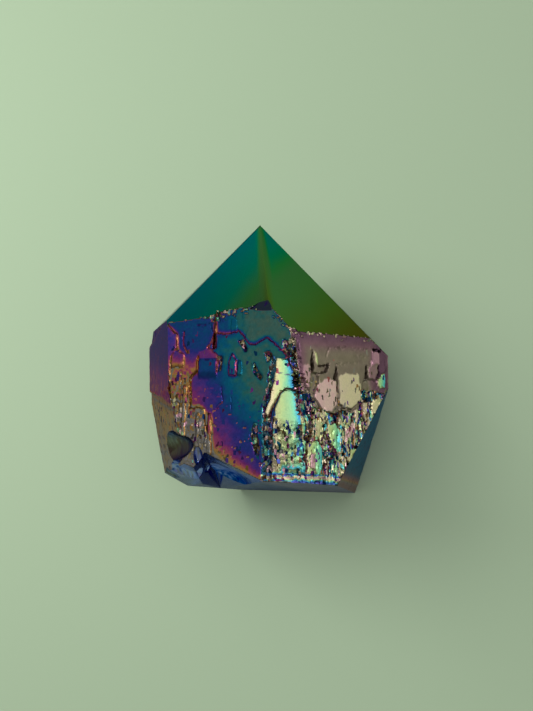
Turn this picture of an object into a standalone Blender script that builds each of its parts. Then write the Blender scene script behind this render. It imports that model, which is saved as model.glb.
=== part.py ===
# Titanium aura quartz point, lying on one of its prism faces with the tip towards +Y.
# A stubby six-sided quartz crystal: a tip cut and polished to six flat facets, natural prism
# faces with gabled growth plates, ledges and etched slots, a foot sawn flat, and a lower left
# corner broken away in scoops. It is one piece. Its metal film is too thin to be a shape.

import math
import random

import bmesh
import bpy
from mathutils import Matrix, Vector

MM = 0.001

# Driving dimensions, in millimetres. The crystal's own axis is x = z = 0 and its foot is at y = 0.
LENGTH = 60.0
TIP = Vector((-1.2, LENGTH, 3.1))

# A flat face is (turn, lean, reach): the degrees that it is turned round the axis from straight up
# towards +X, the degrees that it looks towards the tip, and its distance from the axis in mm.
PRISM_FACES = {
    "front": (0.0, -1.0, 22.9),
    "right": (60.0, 4.0, 24.3),
    "lower_right": (120.0, 0.0, 26.6),
    "back": (180.0, 0.0, 23.1),
    "lower_left": (-120.0, -6.0, 21.5),
    "left": (-60.0, -3.5, 22.7),
}
TAPER_FACES = {
    "right_taper": (90.2, -23.8, 17.5),
    "left_taper": (-61.0, -14.0, 19.0),
    "break": (-47.0, -57.0, 5.2),
    "sawn_foot": (0.0, -89.1, 0.95),
}

# The polished facets all run to the tip: (turn, lean) in degrees.
POLISHED_FACETS = {
    "front": (-6.5, 39.8),
    "right": (56.5, 38.1),
    "lower_right": (89.4, 44.4),
    "back": (166.0, 40.5),
    "lower_left": (-118.0, 41.0),
    "left": (-55.7, 40.2),
}

# Growth plates as (height, outline). An outline is in mm on its face: across it from the axis,
# and up it from the foot. Every plate is highest above its face by its height.
FRONT_PLATES = [
    (0.80, [(-16, -2), (-6.1, -2), (-6.1, 14.6), (-9.4, 15.0), (-9.8, 18.6), (-7.9, 25.2), (-4.6, 27.2),
            (-4.6, 38), (-16, 38)]),
    (0.45, [(-7, -2), (12, -2), (12, 24.4), (11.1, 25.3), (8.0, 29.2), (7.0, 29.4), (4.7, 28.0), (3.7, 27.8),
            (2.2, 30.4), (1.0, 31.0), (-5, 30.5), (-10, 20), (-10, 14)]),
    (0.80, [(-1.4, 19.5), (1.9, 19.5), (1.9, 24.4), (0.9, 26.3), (-0.6, 26.1), (-1.4, 24.6)]),
    (0.75, [(-8.0, 17.5), (-3.7, 17.5), (-3.7, 25.6), (-5.6, 27.6), (-8.0, 25.0)]),
    (1.20, [(-14.6, 23.5), (-11.4, 23.5), (-11.4, 26.6), (-12.6, 27.6), (-14.6, 27.0)]),
    (1.25, [(-13.9, 16.0), (-9.9, 16.0), (-9.9, 22.8), (-12.2, 23.6), (-13.9, 22.4)]),
    (1.15, [(-9.2, 5.0), (-6.6, 5.0), (-6.6, 13.6), (-8.0, 14.3), (-9.2, 13.4)]),
    (1.35, [(-15.3, 27.2), (-13.2, 27.2), (-13.2, 31.6), (-14.5, 33.4), (-15.3, 33.0)]),
]
FRONT_SLOTS = [
    (1.1, [(-4.6, 26.9), (-3.8, 26.9), (-4.1, 30.4), (-4.6, 30.4)]),
    (0.9, [(-11.4, 26.4), (-10.4, 26.4), (-10.9, 31.4), (-11.7, 31.2)]),
    (0.9, [(1.0, 27.2), (2.4, 27.6), (2.2, 28.6), (1.2, 28.5)]),
    (1.0, [(6.6, 24.9), (8.2, 25.2), (8.0, 26.3), (6.9, 26.1)]),
    (0.9, [(4.2, 22.0), (5.4, 23.4), (5.0, 24.6), (4.3, 24.0)]),
    (1.0, [(4.7, 9.0), (5.5, 8.6), (5.6, 11.6), (4.6, 12.0)]),
    (1.0, [(-12.6, 11.0), (-11.9, 11.0), (-11.9, 15.2), (-12.6, 15.2)]),
    (1.0, [(-9.9, 8.0), (-9.2, 8.0), (-9.2, 14.6), (-9.9, 14.6)]),
]

# The bright strip along the edge between front and right is a narrow face of its own.
STRIP_TURN = 17.0
STRIP_START = 8.0
STRIP_TOP = 25.2
STRIP_PLATES = [
    (0.55, [(0.6, 18.6), (3.2, 18.6), (3.2, 23.6), (2.2, 24.9), (1.1, 24.6), (0.6, 23.4)]),
    (0.85, [(-0.4, -2), (7.6, -2), (6.4, 14.8), (3.2, 18.2), (-0.6, 13.0)]),
]

RIGHT_PLATES = [
    (0.80, [(-16, 17.2), (-11.6, 17.6), (-10.4, 20.4), (-8.1, 21.3), (-8.0, 15.2), (-4.6, 14.2), (-1.9, 16.0),
            (-1.9, 22.2), (-0.8, 22.0), (-0.8, 17.4), (2.6, 15.6), (6.6, 16.8), (6.6, 20.4), (8.1, 19.2),
            (8.1, 25.1), (9.6, 25.4), (9.6, 21.0), (13.0, 22.6), (16.5, 24.0), (16.5, 40), (-16, 40)]),
    (1.25, [(10.7, 23.9), (12.5, 23.9), (12.5, 29.2), (11.7, 30.4), (10.7, 29.6)]),
    (0.90, [(-11.1, 1.8), (-7.2, 1.8), (-7.2, 6.4), (-8.9, 8.6), (-11.1, 7.2)]),
]
RIGHT_SLOTS = [
    (0.9, [(-9.5, 20.2), (-8.7, 20.2), (-8.9, 27.8), (-9.4, 27.6)]),
    (0.9, [(-1.9, 21.8), (-1.2, 21.8), (-1.5, 25.6), (-1.8, 25.4)]),
    (0.9, [(8.1, 19.0), (8.9, 19.0), (8.8, 25.3), (8.2, 25.1)]),
]
LEFT_PLATES = [
    (0.60, [(-13.2, 20.8), (14.1, 15.2), (14.1, 32.2), (9.8, 34.2), (-13.2, 31.4)]),
    (0.40, [(-9.0, 2.0), (-2.6, 2.0), (-2.6, 14.6), (-5.4, 17.0), (-9.0, 15.4)]),
    (0.45, [(3.0, 2.0), (9.4, 2.0), (9.4, 11.6), (6.4, 14.0), (3.0, 12.2)]),
]

# Rows of narrow gabled columns, as (face, seed, from, to, foot, top, count, least and most height).
COLUMN_ROWS = [
    ("front", 10, -14.2, -6.4, 7.0, 17.5, 7, 0.70, 1.25),
    ("right", 11, -13.0, 11.0, -1.0, 13.5, 21, 0.25, 0.85),
    ("right", 12, -11.0, 9.0, 6.0, 17.5, 14, 0.30, 0.75),
    ("lower_right", 13, -13.0, 10.6, -1.0, 21.0, 12, 0.20, 0.75),
    ("lower_right", 14, -11.0, 10.0, 12.0, 33.0, 7, 0.20, 0.50),
    ("lower_left", 15, -10.0, 13.0, 3.0, 24.0, 12, 0.20, 0.75),
    ("lower_left", 16, -9.6, 11.0, 14.0, 32.0, 7, 0.20, 0.50),
    ("left", 17, -13.0, 11.0, 4.0, 16.0, 8, 0.15, 0.50),
]
# Long etch pits in the face that the crystal lies on, as (across, up, width, length) in mm.
BACK_PITS = [(-8.5, 20.5, 2.2, 7.0), (-3.4, 12.0, 1.6, 5.0), (1.5, 22.0, 2.6, 9.0), (6.2, 9.0, 1.8, 6.0),
             (9.4, 18.5, 1.5, 5.0), (-10.6, 10.5, 1.5, 4.5), (3.0, 5.0, 2.0, 3.4)]
BACK_PIT_DEPTH = 0.7
GABLE = math.radians(38.0)
PLATE_ROOT = 2.5
CUT_ABOVE = 4.0

# Scoops of the broken corner, as (point on the break, depth, radius of the ball that fits it).
SCOOPS = [
    (Vector((-15.2, 7.2, 14.6)), 2.4, 9.0),
    (Vector((-2.6, 1.4, 15.0)), 1.9, 17.0),
    (Vector((-11.4, 0.8, 3.6)), 1.3, 8.5),
    (Vector((-21.5, 1.0, -6.5)), 1.2, 12.0),
]
# The small notch at the foot of the ridge between the two upper facets: its floor and outline.
NOTCH_FLOOR = (0.0, 22.0, 35.1)
NOTCH_OUTLINE = [(3.0, 38.5), (7.2, 42.6), (7.8, 38.0)]

BLOCK = 200.0


def direction(turn, lean):
    """The way that a face looks."""
    turn, lean = math.radians(turn), math.radians(lean)
    across = math.cos(lean)
    return Vector((math.sin(turn) * across, math.sin(lean), math.cos(turn) * across))


def face_frame(turn, lean, reach):
    """Axes of a face: across it, up it towards the tip, and out of it, from the foot's level."""
    out = direction(turn, lean)
    across = direction(turn + 90.0, 0.0)
    up = out.cross(across)
    start = direction(turn, 0.0) * (reach / math.cos(math.radians(lean)))
    frame = Matrix((across, up, out)).transposed().to_4x4()
    return Matrix.Translation(start) @ frame


def new_collection(name, shown):
    collection = bpy.data.collections.new(name)
    collection.hide_render = not shown
    bpy.context.scene.collection.children.link(collection)
    return collection


def add_object(name, mesh, collection):
    obj = bpy.data.objects.new(name, mesh)
    collection.objects.link(obj)
    return obj


def add_cutter(name, mesh, collection):
    cutter = add_object(name, mesh, collection)
    cutter.hide_render = True
    cutter.display_type = "WIRE"
    return cutter


def cut_block(name, planes):
    """A large cube with everything outside the planes cut away, each cut closed by a flat face."""
    bm = bmesh.new()
    bmesh.ops.create_cube(bm, size=BLOCK)
    for point, out in planes:
        everything = bm.verts[:] + bm.edges[:] + bm.faces[:]
        bmesh.ops.bisect_plane(bm, geom=everything, plane_co=point, plane_no=out, clear_outer=True)
        bmesh.ops.holes_fill(bm, edges=bm.edges[:], sides=0)
    bmesh.ops.recalc_face_normals(bm, faces=bm.faces[:])
    bmesh.ops.scale(bm, vec=(MM, MM, MM), verts=bm.verts[:])
    mesh = bpy.data.meshes.new(name)
    bm.to_mesh(mesh)
    bm.free()
    return mesh


def plane_of(turn, lean, reach):
    out = direction(turn, lean)
    return out * reach, out


def slab(name, frame, outline, low, high, collection):
    """A flat outline on a face, made as thick as from low to high above the face."""
    curve = bpy.data.curves.new(name, "CURVE")
    curve.dimensions = "2D"
    curve.fill_mode = "BOTH"
    curve.extrude = (high - low) / 2 * MM
    spline = curve.splines.new("POLY")
    spline.points.add(len(outline) - 1)
    for point, (across, up) in zip(spline.points, outline):
        point.co = (across * MM, up * MM, 0.0, 1.0)
    spline.use_cyclic_u = True
    drawn = add_object(name + "_outline", curve, collection)
    bpy.context.view_layer.update()
    graph = bpy.context.evaluated_depsgraph_get()
    mesh = bpy.data.meshes.new_from_object(drawn.evaluated_get(graph))
    bpy.data.objects.remove(drawn)
    bm = bmesh.new()
    bm.from_mesh(mesh)
    bmesh.ops.remove_doubles(bm, verts=bm.verts[:], dist=0.005 * MM)
    bmesh.ops.translate(bm, vec=(0, 0, (high + low) / 2 * MM), verts=bm.verts[:])
    turned = frame.copy()
    turned.translation *= MM
    bmesh.ops.transform(bm, matrix=turned, verts=bm.verts[:])
    bmesh.ops.recalc_face_normals(bm, faces=bm.faces[:])
    bm.to_mesh(mesh)
    bm.free()
    return add_cutter(name, mesh, collection)


def gabled(across, foot, width, height):
    """The outline of one growth column: straight sides and a low roof that points to the tip."""
    half = width / 2
    eaves = foot + height - half * math.tan(GABLE)
    return [(across - half, foot), (across + half, foot), (across + half, eaves),
            (across + half * 0.15, foot + height), (across - half, eaves + half * 0.2)]


def column_row(seed, start, end, foot, top, count, least, most):
    """Gabled columns side by side, uneven in width, length and height, as (height, outline)."""
    draw = random.Random(seed)
    step = (end - start) / count
    columns = []
    for place in range(count):
        across = start + step * (place + 0.5) + draw.uniform(-0.2, 0.2) * step
        width = step * draw.uniform(0.55, 1.25)
        low = foot + draw.uniform(0.0, 0.25) * (top - foot)
        length = (top - low) * draw.uniform(0.45, 1.0)
        columns.append((draw.uniform(least, most), gabled(across, low, width, length)))
    return columns


def add_growth_plates(collection):
    plates = {"front": FRONT_PLATES, "right": RIGHT_PLATES, "left": LEFT_PLATES}
    rows = [(face, plates[face]) for face in plates]
    rows += [(face, column_row(*row)) for face, *row in COLUMN_ROWS]
    for row, (face, members) in enumerate(rows):
        frame = face_frame(*PRISM_FACES[face])
        for member, (height, outline) in enumerate(members):
            slab(f"plate_{face}_{row}_{member}", frame, outline, -PLATE_ROOT, height, collection)


def strip_frame():
    """Axes of the bright strip, which starts on the front face and falls away to the right."""
    turn, lean, reach = PRISM_FACES["front"]
    start = face_frame(turn, lean, reach) @ Vector((STRIP_START, 0, 0.5))
    out = direction(turn + STRIP_TURN, lean)
    across = direction(turn + STRIP_TURN + 90.0, 0.0)
    frame = Matrix((across, out.cross(across), out)).transposed().to_4x4()
    return Matrix.Translation(start) @ frame


def add_strip_cut(collection):
    outline = [(0, -4), (16, -4), (16, STRIP_TOP - 3), (5.5, STRIP_TOP - 2), (3.0, STRIP_TOP), (0, STRIP_TOP - 1)]
    slab("strip_cut", strip_frame(), outline, 0.0, CUT_ABOVE + 2, collection)


def add_strip_plates(collection):
    for member, (height, outline) in enumerate(STRIP_PLATES):
        slab(f"plate_strip_{member}", strip_frame(), outline, -PLATE_ROOT, height, collection)


def add_slots(collection):
    for face, slots in (("front", FRONT_SLOTS), ("right", RIGHT_SLOTS)):
        frame = face_frame(*PRISM_FACES[face])
        for member, (depth, outline) in enumerate(slots):
            slab(f"slot_{face}_{member}", frame, outline, -depth, CUT_ABOVE, collection)
    slab("notch", face_frame(*NOTCH_FLOOR), NOTCH_OUTLINE, 0.0, CUT_ABOVE, collection)
    frame = face_frame(*PRISM_FACES["back"])
    for member, (across, up, width, length) in enumerate(BACK_PITS):
        outline = gabled(across, up - length / 2, width, length)
        slab(f"pit_back_{member}", frame, outline, -BACK_PIT_DEPTH, CUT_ABOVE, collection)


def add_scoops(collection):
    out = direction(*TAPER_FACES["break"][:2])
    for member, (point, depth, radius) in enumerate(SCOOPS):
        centre = (point + out * (radius - depth)) * MM
        bpy.ops.mesh.primitive_ico_sphere_add(subdivisions=3, radius=radius * MM, location=centre)
        scoop = bpy.context.object
        scoop.name = f"scoop_{member}"
        for owner in scoop.users_collection:
            owner.objects.unlink(scoop)
        collection.objects.link(scoop)
        scoop.hide_render = True
        scoop.display_type = "WIRE"


def add_boolean(obj, name, operation, cutter):
    modifier = obj.modifiers.new(name, "BOOLEAN")
    modifier.operation = operation
    modifier.solver = "EXACT"
    if isinstance(cutter, bpy.types.Collection):
        modifier.operand_type = "COLLECTION"
        modifier.collection = cutter
    else:
        modifier.object = cutter


def coated_quartz():
    material = bpy.data.materials.new("titanium_coated_quartz")
    material.use_nodes = True
    shader = material.node_tree.nodes["Principled BSDF"]
    shader.inputs["Base Color"].default_value = (0.05, 0.16, 0.25, 1.0)
    shader.inputs["Metallic"].default_value = 0.9
    shader.inputs["Roughness"].default_value = 0.16
    return material


def box_of(obj):
    """The lowest and highest corners of the finished shape."""
    bpy.context.view_layer.update()
    evaluated = obj.evaluated_get(bpy.context.evaluated_depsgraph_get())
    points = [vertex.co for vertex in evaluated.data.vertices]
    lowest = Vector([min(point[i] for point in points) for i in range(3)])
    highest = Vector([max(point[i] for point in points) for i in range(3)])
    return lowest, highest


def stand_on_origin(obj):
    """Puts the middle of the shape's underside at the origin, with everything that shapes it."""
    lowest, highest = box_of(obj)
    axes = bpy.data.objects.new("crystal_axes", None)
    bpy.context.scene.collection.objects.link(axes)
    for shape in bpy.data.objects:
        if shape.type == "MESH":
            shape.parent = axes
    axes.location = (-(lowest.x + highest.x) / 2, -(lowest.y + highest.y) / 2, -lowest.z)


def make_crystal(parts, cutters, plates, strip_plates, slots, scoops):
    prism = cut_block("crystal", [plane_of(*face) for face in PRISM_FACES.values()])
    ends = [plane_of(*face) for face in TAPER_FACES.values()]
    ends.append(plane_of(*PRISM_FACES["back"]))
    ends += [(TIP, direction(*facet)) for facet in POLISHED_FACETS.values()]
    end_cutter = add_cutter("ends", cut_block("ends", ends), cutters)
    add_growth_plates(plates)
    add_strip_cut(cutters)
    add_strip_plates(strip_plates)
    add_slots(slots)
    add_scoops(scoops)
    crystal = add_object("crystal", prism, parts)
    crystal.data.materials.append(coated_quartz())
    add_boolean(crystal, "growth plates", "UNION", plates)
    add_boolean(crystal, "bright strip", "DIFFERENCE", cutters.objects["strip_cut"])
    add_boolean(crystal, "strip plates", "UNION", strip_plates)
    add_boolean(crystal, "slots and pits", "DIFFERENCE", slots)
    add_boolean(crystal, "facets, foot and tapers", "INTERSECT", end_cutter)
    add_boolean(crystal, "broken corner", "DIFFERENCE", scoops)
    stand_on_origin(crystal)
    return crystal


for old in list(bpy.data.objects):
    bpy.data.objects.remove(old)
parts = new_collection("Titanium aura quartz point", True)
cutters = new_collection("Cutters", False)
plates = new_collection("Growth plates", False)
strip_plates = new_collection("Strip plates", False)
slots = new_collection("Slots and pits", False)
scoops = new_collection("Break scoops", False)
make_crystal(parts, cutters, plates, strip_plates, slots, scoops)
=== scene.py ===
import math
import random

import bmesh
import bpy
import numpy as np
from mathutils import Matrix, Vector


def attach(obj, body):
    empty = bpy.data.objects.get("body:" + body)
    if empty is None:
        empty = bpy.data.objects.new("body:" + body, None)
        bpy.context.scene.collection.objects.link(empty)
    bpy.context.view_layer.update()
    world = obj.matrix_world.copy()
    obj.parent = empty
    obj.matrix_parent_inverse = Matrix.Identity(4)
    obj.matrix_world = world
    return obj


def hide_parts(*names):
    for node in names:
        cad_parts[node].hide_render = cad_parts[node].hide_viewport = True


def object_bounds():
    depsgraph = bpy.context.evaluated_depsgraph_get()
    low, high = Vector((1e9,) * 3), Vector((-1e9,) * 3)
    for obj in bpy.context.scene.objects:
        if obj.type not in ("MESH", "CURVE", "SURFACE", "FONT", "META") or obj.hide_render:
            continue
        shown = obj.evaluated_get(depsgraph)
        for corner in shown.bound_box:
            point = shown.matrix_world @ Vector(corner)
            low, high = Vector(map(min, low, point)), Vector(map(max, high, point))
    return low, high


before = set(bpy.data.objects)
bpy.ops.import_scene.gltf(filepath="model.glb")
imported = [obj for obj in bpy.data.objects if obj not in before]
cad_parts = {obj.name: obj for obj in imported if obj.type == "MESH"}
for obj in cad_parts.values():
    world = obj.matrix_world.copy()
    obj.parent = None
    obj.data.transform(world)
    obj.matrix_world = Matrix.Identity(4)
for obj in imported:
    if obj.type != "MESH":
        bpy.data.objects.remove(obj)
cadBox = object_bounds()
mm = 0.001
print("frame loaded, box", [[round(c, 4) for c in corner] for corner in cadBox])


def hexColour(code):  # sRGB hex to the linear colour that a shader reads
    parts = [int(code[i:i + 2], 16) / 255 for i in (0, 2, 4)]
    return tuple(c / 12.92 if c <= 0.04045 else ((c + 0.055) / 1.055) ** 2.4 for c in parts) + (1.0,)


# the crystal
# lengths in mm from the crystal's own axis and foot; a flat is (turn round the axis, lean to the tip, reach)
crystal = {
    "tip": (-1.2, 60.0, 3.1),
    "sides": {  # name: flat, columns of the mesh across it
        "front": ((0.0, -1.0, 22.9), 160),
        "right": ((60.0, 4.0, 24.3), 140),
        "lowerRight": ((120.0, 0.0, 26.6), 58),
        "back": ((180.0, 0.0, 23.1), 58),
        "lowerLeft": ((-120.0, -6.0, 21.5), 54),
        "left": ((-60.0, -3.5, 22.7), 74),
    },
    "rows": (-1.6, 38.6, 160),  # first and last level of the mesh, and the steps between them
    "top": 62.5,  # level that the mesh reaches before the facets cut it
    "facets": {  # polished flats through the tip
        "front": (-6.5, 39.8), "right": (56.5, 38.1), "lowerRight": (89.4, 44.4),
        "back": (166.0, 40.5), "lowerLeft": (-118.0, 41.0), "left": (-58.6, 41.0),
    },
    "facetBevel": 0.12,
    "sharpAngle": 28,  # degrees; edges that turn more stay sharp
    "rightTaper": (93.9, -21.5, 18.75),
    "leftTaper": (-61.0, -14.0, 19.0),
    "break": (-56.6, -67.0, 5.91),
    "foot": (0.0, -89.1, 0.95),
    "middleX": 0.2564,  # the middle of the box lies this far to the right of the axis
    "wall": 0.26,  # how far a growth wall runs out as it drops
    "gable": 38.0,
    "taperCuts": (-20, 41, 0.3),  # planes between the taper's 1 mm faces: first, end, offset
    "cornerReach": 5.0,  # the most that relief moves a corner between two sides
    "cornerBlend": 7.0,  # and over how much of a side that fades
}


def direction(turn, lean=0.0):
    turn, lean = math.radians(turn), math.radians(lean)
    return Vector((math.sin(turn) * math.cos(lean), math.sin(lean), math.cos(turn) * math.cos(lean)))


def faceAxes(turn, lean, reach):  # start at the foot's level, across, up, out
    out, across = direction(turn, lean), direction(turn + 90.0)
    return direction(turn) * (reach / math.cos(math.radians(lean))), across, out.cross(across), out


flats = {name: flat for name, (flat, _) in crystal["sides"].items()}
names = list(flats)
axes = {name: [np.array(axis) for axis in faceAxes(*flat)] for name, flat in flats.items()}
shift = Vector(((cadBox[0][0] + cadBox[1][0]) / 2 - crystal["middleX"] * mm,
                cadBox[1][1] - crystal["tip"][1] * mm, cadBox[0][2] + flats["back"][2] * mm))
tipPlace = Vector(crystal["tip"]) * mm + shift


# patterns that the relief and the colours share: u runs across a side and v up it, in mm

def smooth(x, low=0.0, high=1.0):
    t = np.clip((x - low) / (high - low), 0.0, 1.0)
    return t * t * (3.0 - 2.0 * t)


def softNoise(u, v, size, seed):  # 0 to 1, lumps of about this size
    grid = np.random.RandomState(seed).rand(64, 64)
    x, y = u / size + 17.3, v / size + 9.1
    i, j = np.floor(x).astype(int), np.floor(y).astype(int)
    a, b = smooth(x - i), smooth(y - j)
    low = grid[i % 64, j % 64] * (1 - a) + grid[(i + 1) % 64, j % 64] * a
    high = grid[i % 64, (j + 1) % 64] * (1 - a) + grid[(i + 1) % 64, (j + 1) % 64] * a
    return low * (1 - b) + high * b


def mottle(u, v, size, seed):  # the same lumps from -1 to 1
    return 2 * softNoise(u, v, size, seed) - 1


def blocks(u, v, width, height, seed):  # etched blocks: gap from the next block, and 3 numbers of its own
    grid = np.random.RandomState(seed).rand(64, 64, 5)
    x, y = u / width + 20.0, v / height + 20.0
    i, j = np.floor(x).astype(int), np.floor(y).astype(int)
    first = np.full(u.shape, 9.0)
    second = np.full(u.shape, 9.0)
    own = np.zeros(u.shape + (3,))
    for di in (-1, 0, 1):
        for dj in (-1, 0, 1):
            spot = grid[(i + di) % 64, (j + dj) % 64]
            dx = np.abs(i + di + 0.15 + 0.7 * spot[..., 0] - x)
            dy = np.abs(j + dj + 0.15 + 0.7 * spot[..., 1] - y)
            away = np.maximum(dx, dy) + 0.35 * np.minimum(dx, dy)
            closer = away < first
            second = np.where(closer, first, np.minimum(second, away))
            own = np.where(closer[..., None], spot[..., 2:], own)
            first = np.where(closer, away, first)
    return (second - first) * min(width, height), own


def segmentGap(u, v, start, end):  # squared distance to one straight piece of a line
    (ax, ay), (bx, by) = start, end
    ex, ey = bx - ax, by - ay
    t = np.clip(((u - ax) * ex + (v - ay) * ey) / (ex * ex + ey * ey), 0, 1)
    return (u - ax - t * ex) ** 2 + (v - ay - t * ey) ** 2


def lineDistance(u, v, line):
    return np.sqrt(np.min([segmentGap(u, v, *ends) for ends in zip(line, line[1:])], axis=0))


def insideBy(u, v, outline):  # mm inside an outline, negative outside it
    inside = np.zeros(u.shape, bool)
    for (ax, ay), (bx, by) in zip(outline, outline[1:] + outline[:1]):
        if ay != by:
            inside ^= ((ay > v) != (by > v)) & (u < ax + (v - ay) * (bx - ax) / (by - ay))
    return np.where(inside, 1, -1) * lineDistance(u, v, outline + outline[:1])


def near(u, v, outline, margin=1.0):
    us, vs = zip(*outline)
    return (u > min(us) - margin) & (u < max(us) + margin) & (v > min(vs) - margin) & (v < max(vs) + margin)


def step(h, u, v, outline, level, wall=None):  # moves the height to a level inside an outline
    wall = wall or crystal["wall"]
    spot = near(u, v, outline)
    share = smooth(insideBy(u[spot], v[spot], outline) / wall + 0.5)
    moved = h[spot] + (level - h[spot]) * share
    h[spot] = np.maximum(h[spot], moved) if level > 0 else np.minimum(h[spot], moved)


def within(u, v, outline, soft=0.3):  # 1 inside an outline, 0 outside it
    share = np.zeros(u.shape)
    spot = near(u, v, outline)
    share[spot] = smooth(insideBy(u[spot], v[spot], outline) / soft + 0.5)
    return share


def grooved(u, v, grooves):  # depth below the surface along each line
    return sum(depth * smooth(1 - lineDistance(u, v, line) / width) for line, width, depth in grooves)


def ragged(u, v, seed, most=0.16):  # the small steps along the edge of every growth plate
    grid = np.random.RandomState(seed).rand(128, 2) - 0.5
    alongColumns = grid[np.floor(u / 0.55 + 50).astype(int) % 128, 0]
    alongLevels = grid[np.floor(v / 1.3 + 50).astype(int) % 128, 1]
    wanderU = softNoise(u, v, 1.4, seed + 100) - 0.5
    wanderV = softNoise(u, v, 1.4, seed + 200) - 0.5
    return u + most * (alongLevels + 1.8 * wanderU), v + most * (2.0 * alongColumns + 2.2 * wanderV)


def dashes(u, v, width, height, seed, share):  # 1 inside small scattered dashes
    grid = np.random.RandomState(seed).rand(64, 64, 4)
    j = np.floor(v / height + 40).astype(int)
    u = u + width * 7 * grid[j % 64, 5, 0]
    i = np.floor(u / width + 40).astype(int)
    own = grid[i % 64, j % 64]
    x, y = (u / width + 40) % 1 - 0.5, (v / height + 40) % 1 - 0.5
    long, thick = 0.08 + 0.34 * own[..., 1] ** 2, 0.12 + 0.14 * own[..., 3]
    inside = (np.abs(x) < long) & (np.abs(y + 0.5 * (own[..., 2] - 0.5)) < thick)
    return inside * (own[..., 0] < share)


def gabled(across, foot, width, height):  # outline of one growth column under its low roof
    half = width / 2
    eaves = foot + height - half * math.tan(math.radians(crystal["gable"]))
    return [(across - half, foot), (across + half, foot), (across + half, eaves),
            (across + half * 0.15, foot + height), (across - half, eaves + half * 0.2)]


def columnRow(seed, start, end, foot, top, count, least, most):  # (height, outline) of uneven columns
    draw = random.Random(seed)
    width = (end - start) / count
    row = []
    for place in range(count):
        across = start + width * (place + 0.5) + draw.uniform(-0.2, 0.2) * width
        wide = width * draw.uniform(0.55, 1.25)
        low = foot + draw.uniform(0.0, 0.25) * (top - foot)
        tall = (top - low) * draw.uniform(0.45, 1.0)
        row.append((draw.uniform(least, most), gabled(across, low, wide, tall)))
    return row


# growth on each side: plates (height, outline), slots (depth, outline), rows of gabled columns
frontGrowth = {
    "plates": {
        "corner": (0.80, [(-16, -2), (-4.3, -2), (-4.3, 7.4), (-5.7, 10.4), (-6.0, 14.6), (-9.3, 14.6),
            (-9.5, 21.2), (-8.2, 22.6), (-8.0, 25.4), (-5.2, 28.2), (-4.4, 30.6), (-4.6, 42), (-16, 42)]),
        "main": (0.45, [(-10, -2), (30, -2), (30, 24.8), (11.6, 25.4), (10.6, 26.3), (8.3, 28.7), (7.2, 29.5),
            (4.5, 28.0), (3.4, 28.0), (2.0, 29.8), (0.6, 30.9), (-1.4, 30.5), (-5, 30.5), (-10, 22)]),
        "tower": (0.80, [(-1.0, 21.6), (0.6, 21.6), (0.6, 24.8), (-0.4, 26.1), (-1.0, 24.6)]),
        "smallTower": (0.62, [(0.9, 21.6), (1.7, 21.6), (1.8, 24.4), (1.2, 24.8)]),
        "tomb": (0.75, [(-7.8, 20.5), (-3.7, 20.5), (-3.7, 25.9), (-5.1, 27.3), (-6.1, 27.3), (-7.8, 26.3)]),
        "low": (1.10, [(-13.9, 23.4), (-11.1, 23.4), (-11.1, 26.3), (-12.3, 26.8), (-13.9, 26.8)]),
        "left": (1.30, [(-17, 17.1), (-14.2, 17.1), (-14.0, 25.8), (-12.7, 27.2), (-12.6, 30.1),
            (-13.2, 30.6), (-15.6, 32.9), (-17, 32.9)]),
    },
    "grooves": [  # line, half width, depth
        ([(-7.7, 24.8), (-4.0, 24.9)], 0.20, 0.10),
        ([(-2.5, 19.2), (-2.3, 16.0), (-3.5, 14.4)], 0.20, 0.12),
        ([(-0.6, 17.6), (-0.3, 13.7)], 0.14, 0.06),
        ([(-8.3, 32.2), (-5.3, 32.5), (-4.7, 30.6)], 0.22, 0.14),
        ([(-11.3, 31.1), (-11.3, 28.2), (-10.5, 26.5)], 0.24, 0.22),
        ([(-14.4, 22.0), (-13.9, 17.4), (-13.3, 13.4)], 0.20, 0.40),
        ([(-8.2, 22.4), (-9.4, 21.0), (-9.3, 14.6)], 0.20, 0.20),
        ([(-11.6, 22.6), (-11.5, 17.0), (-11.9, 12.0)], 0.16, 0.12),
    ],
    "slots": [
        (0.4, [(-4.7, 27.4), (-4.0, 27.2), (-4.2, 30.4), (-4.6, 30.4)]),
    ],
    "chips": [
        [(0.9, 28.8), (2.0, 29.0), (2.9, 26.9), (2.1, 26.9)],
        [(6.8, 26.3), (7.8, 26.6), (8.4, 25.3), (7.4, 24.2)],
        [(4.2, 22.6), (4.6, 24.2), (5.2, 22.6), (6.4, 21.3), (5.9, 20.5)],
        [(4.1, 9.0), (4.8, 11.4), (5.6, 11.1), (5.4, 9.0), (6.3, 6.4), (5.8, 4.6)],
        [(-6.4, 36.2), (-3.9, 36.2), (-3.8, 33.2), (-5.2, 33.0)],
        [(10.6, 29.0), (12.4, 28.8), (15, 28.4), (15, 18.0), (13.6, 18.0), (13.0, 22.6), (12.0, 24.9),
            (10.8, 26.6)],
        [(-3.6, 25.6), (-2.6, 25.6), (-2.9, 22.6), (-3.6, 22.4)],
    ],
    "columns": [(10, -14.0, -9.5, 8.0, 21.0, 6, 0.70, 1.20), (18, -9.2, -4.6, 4.0, 14.4, 7, 0.60, 1.05)],
}
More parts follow.
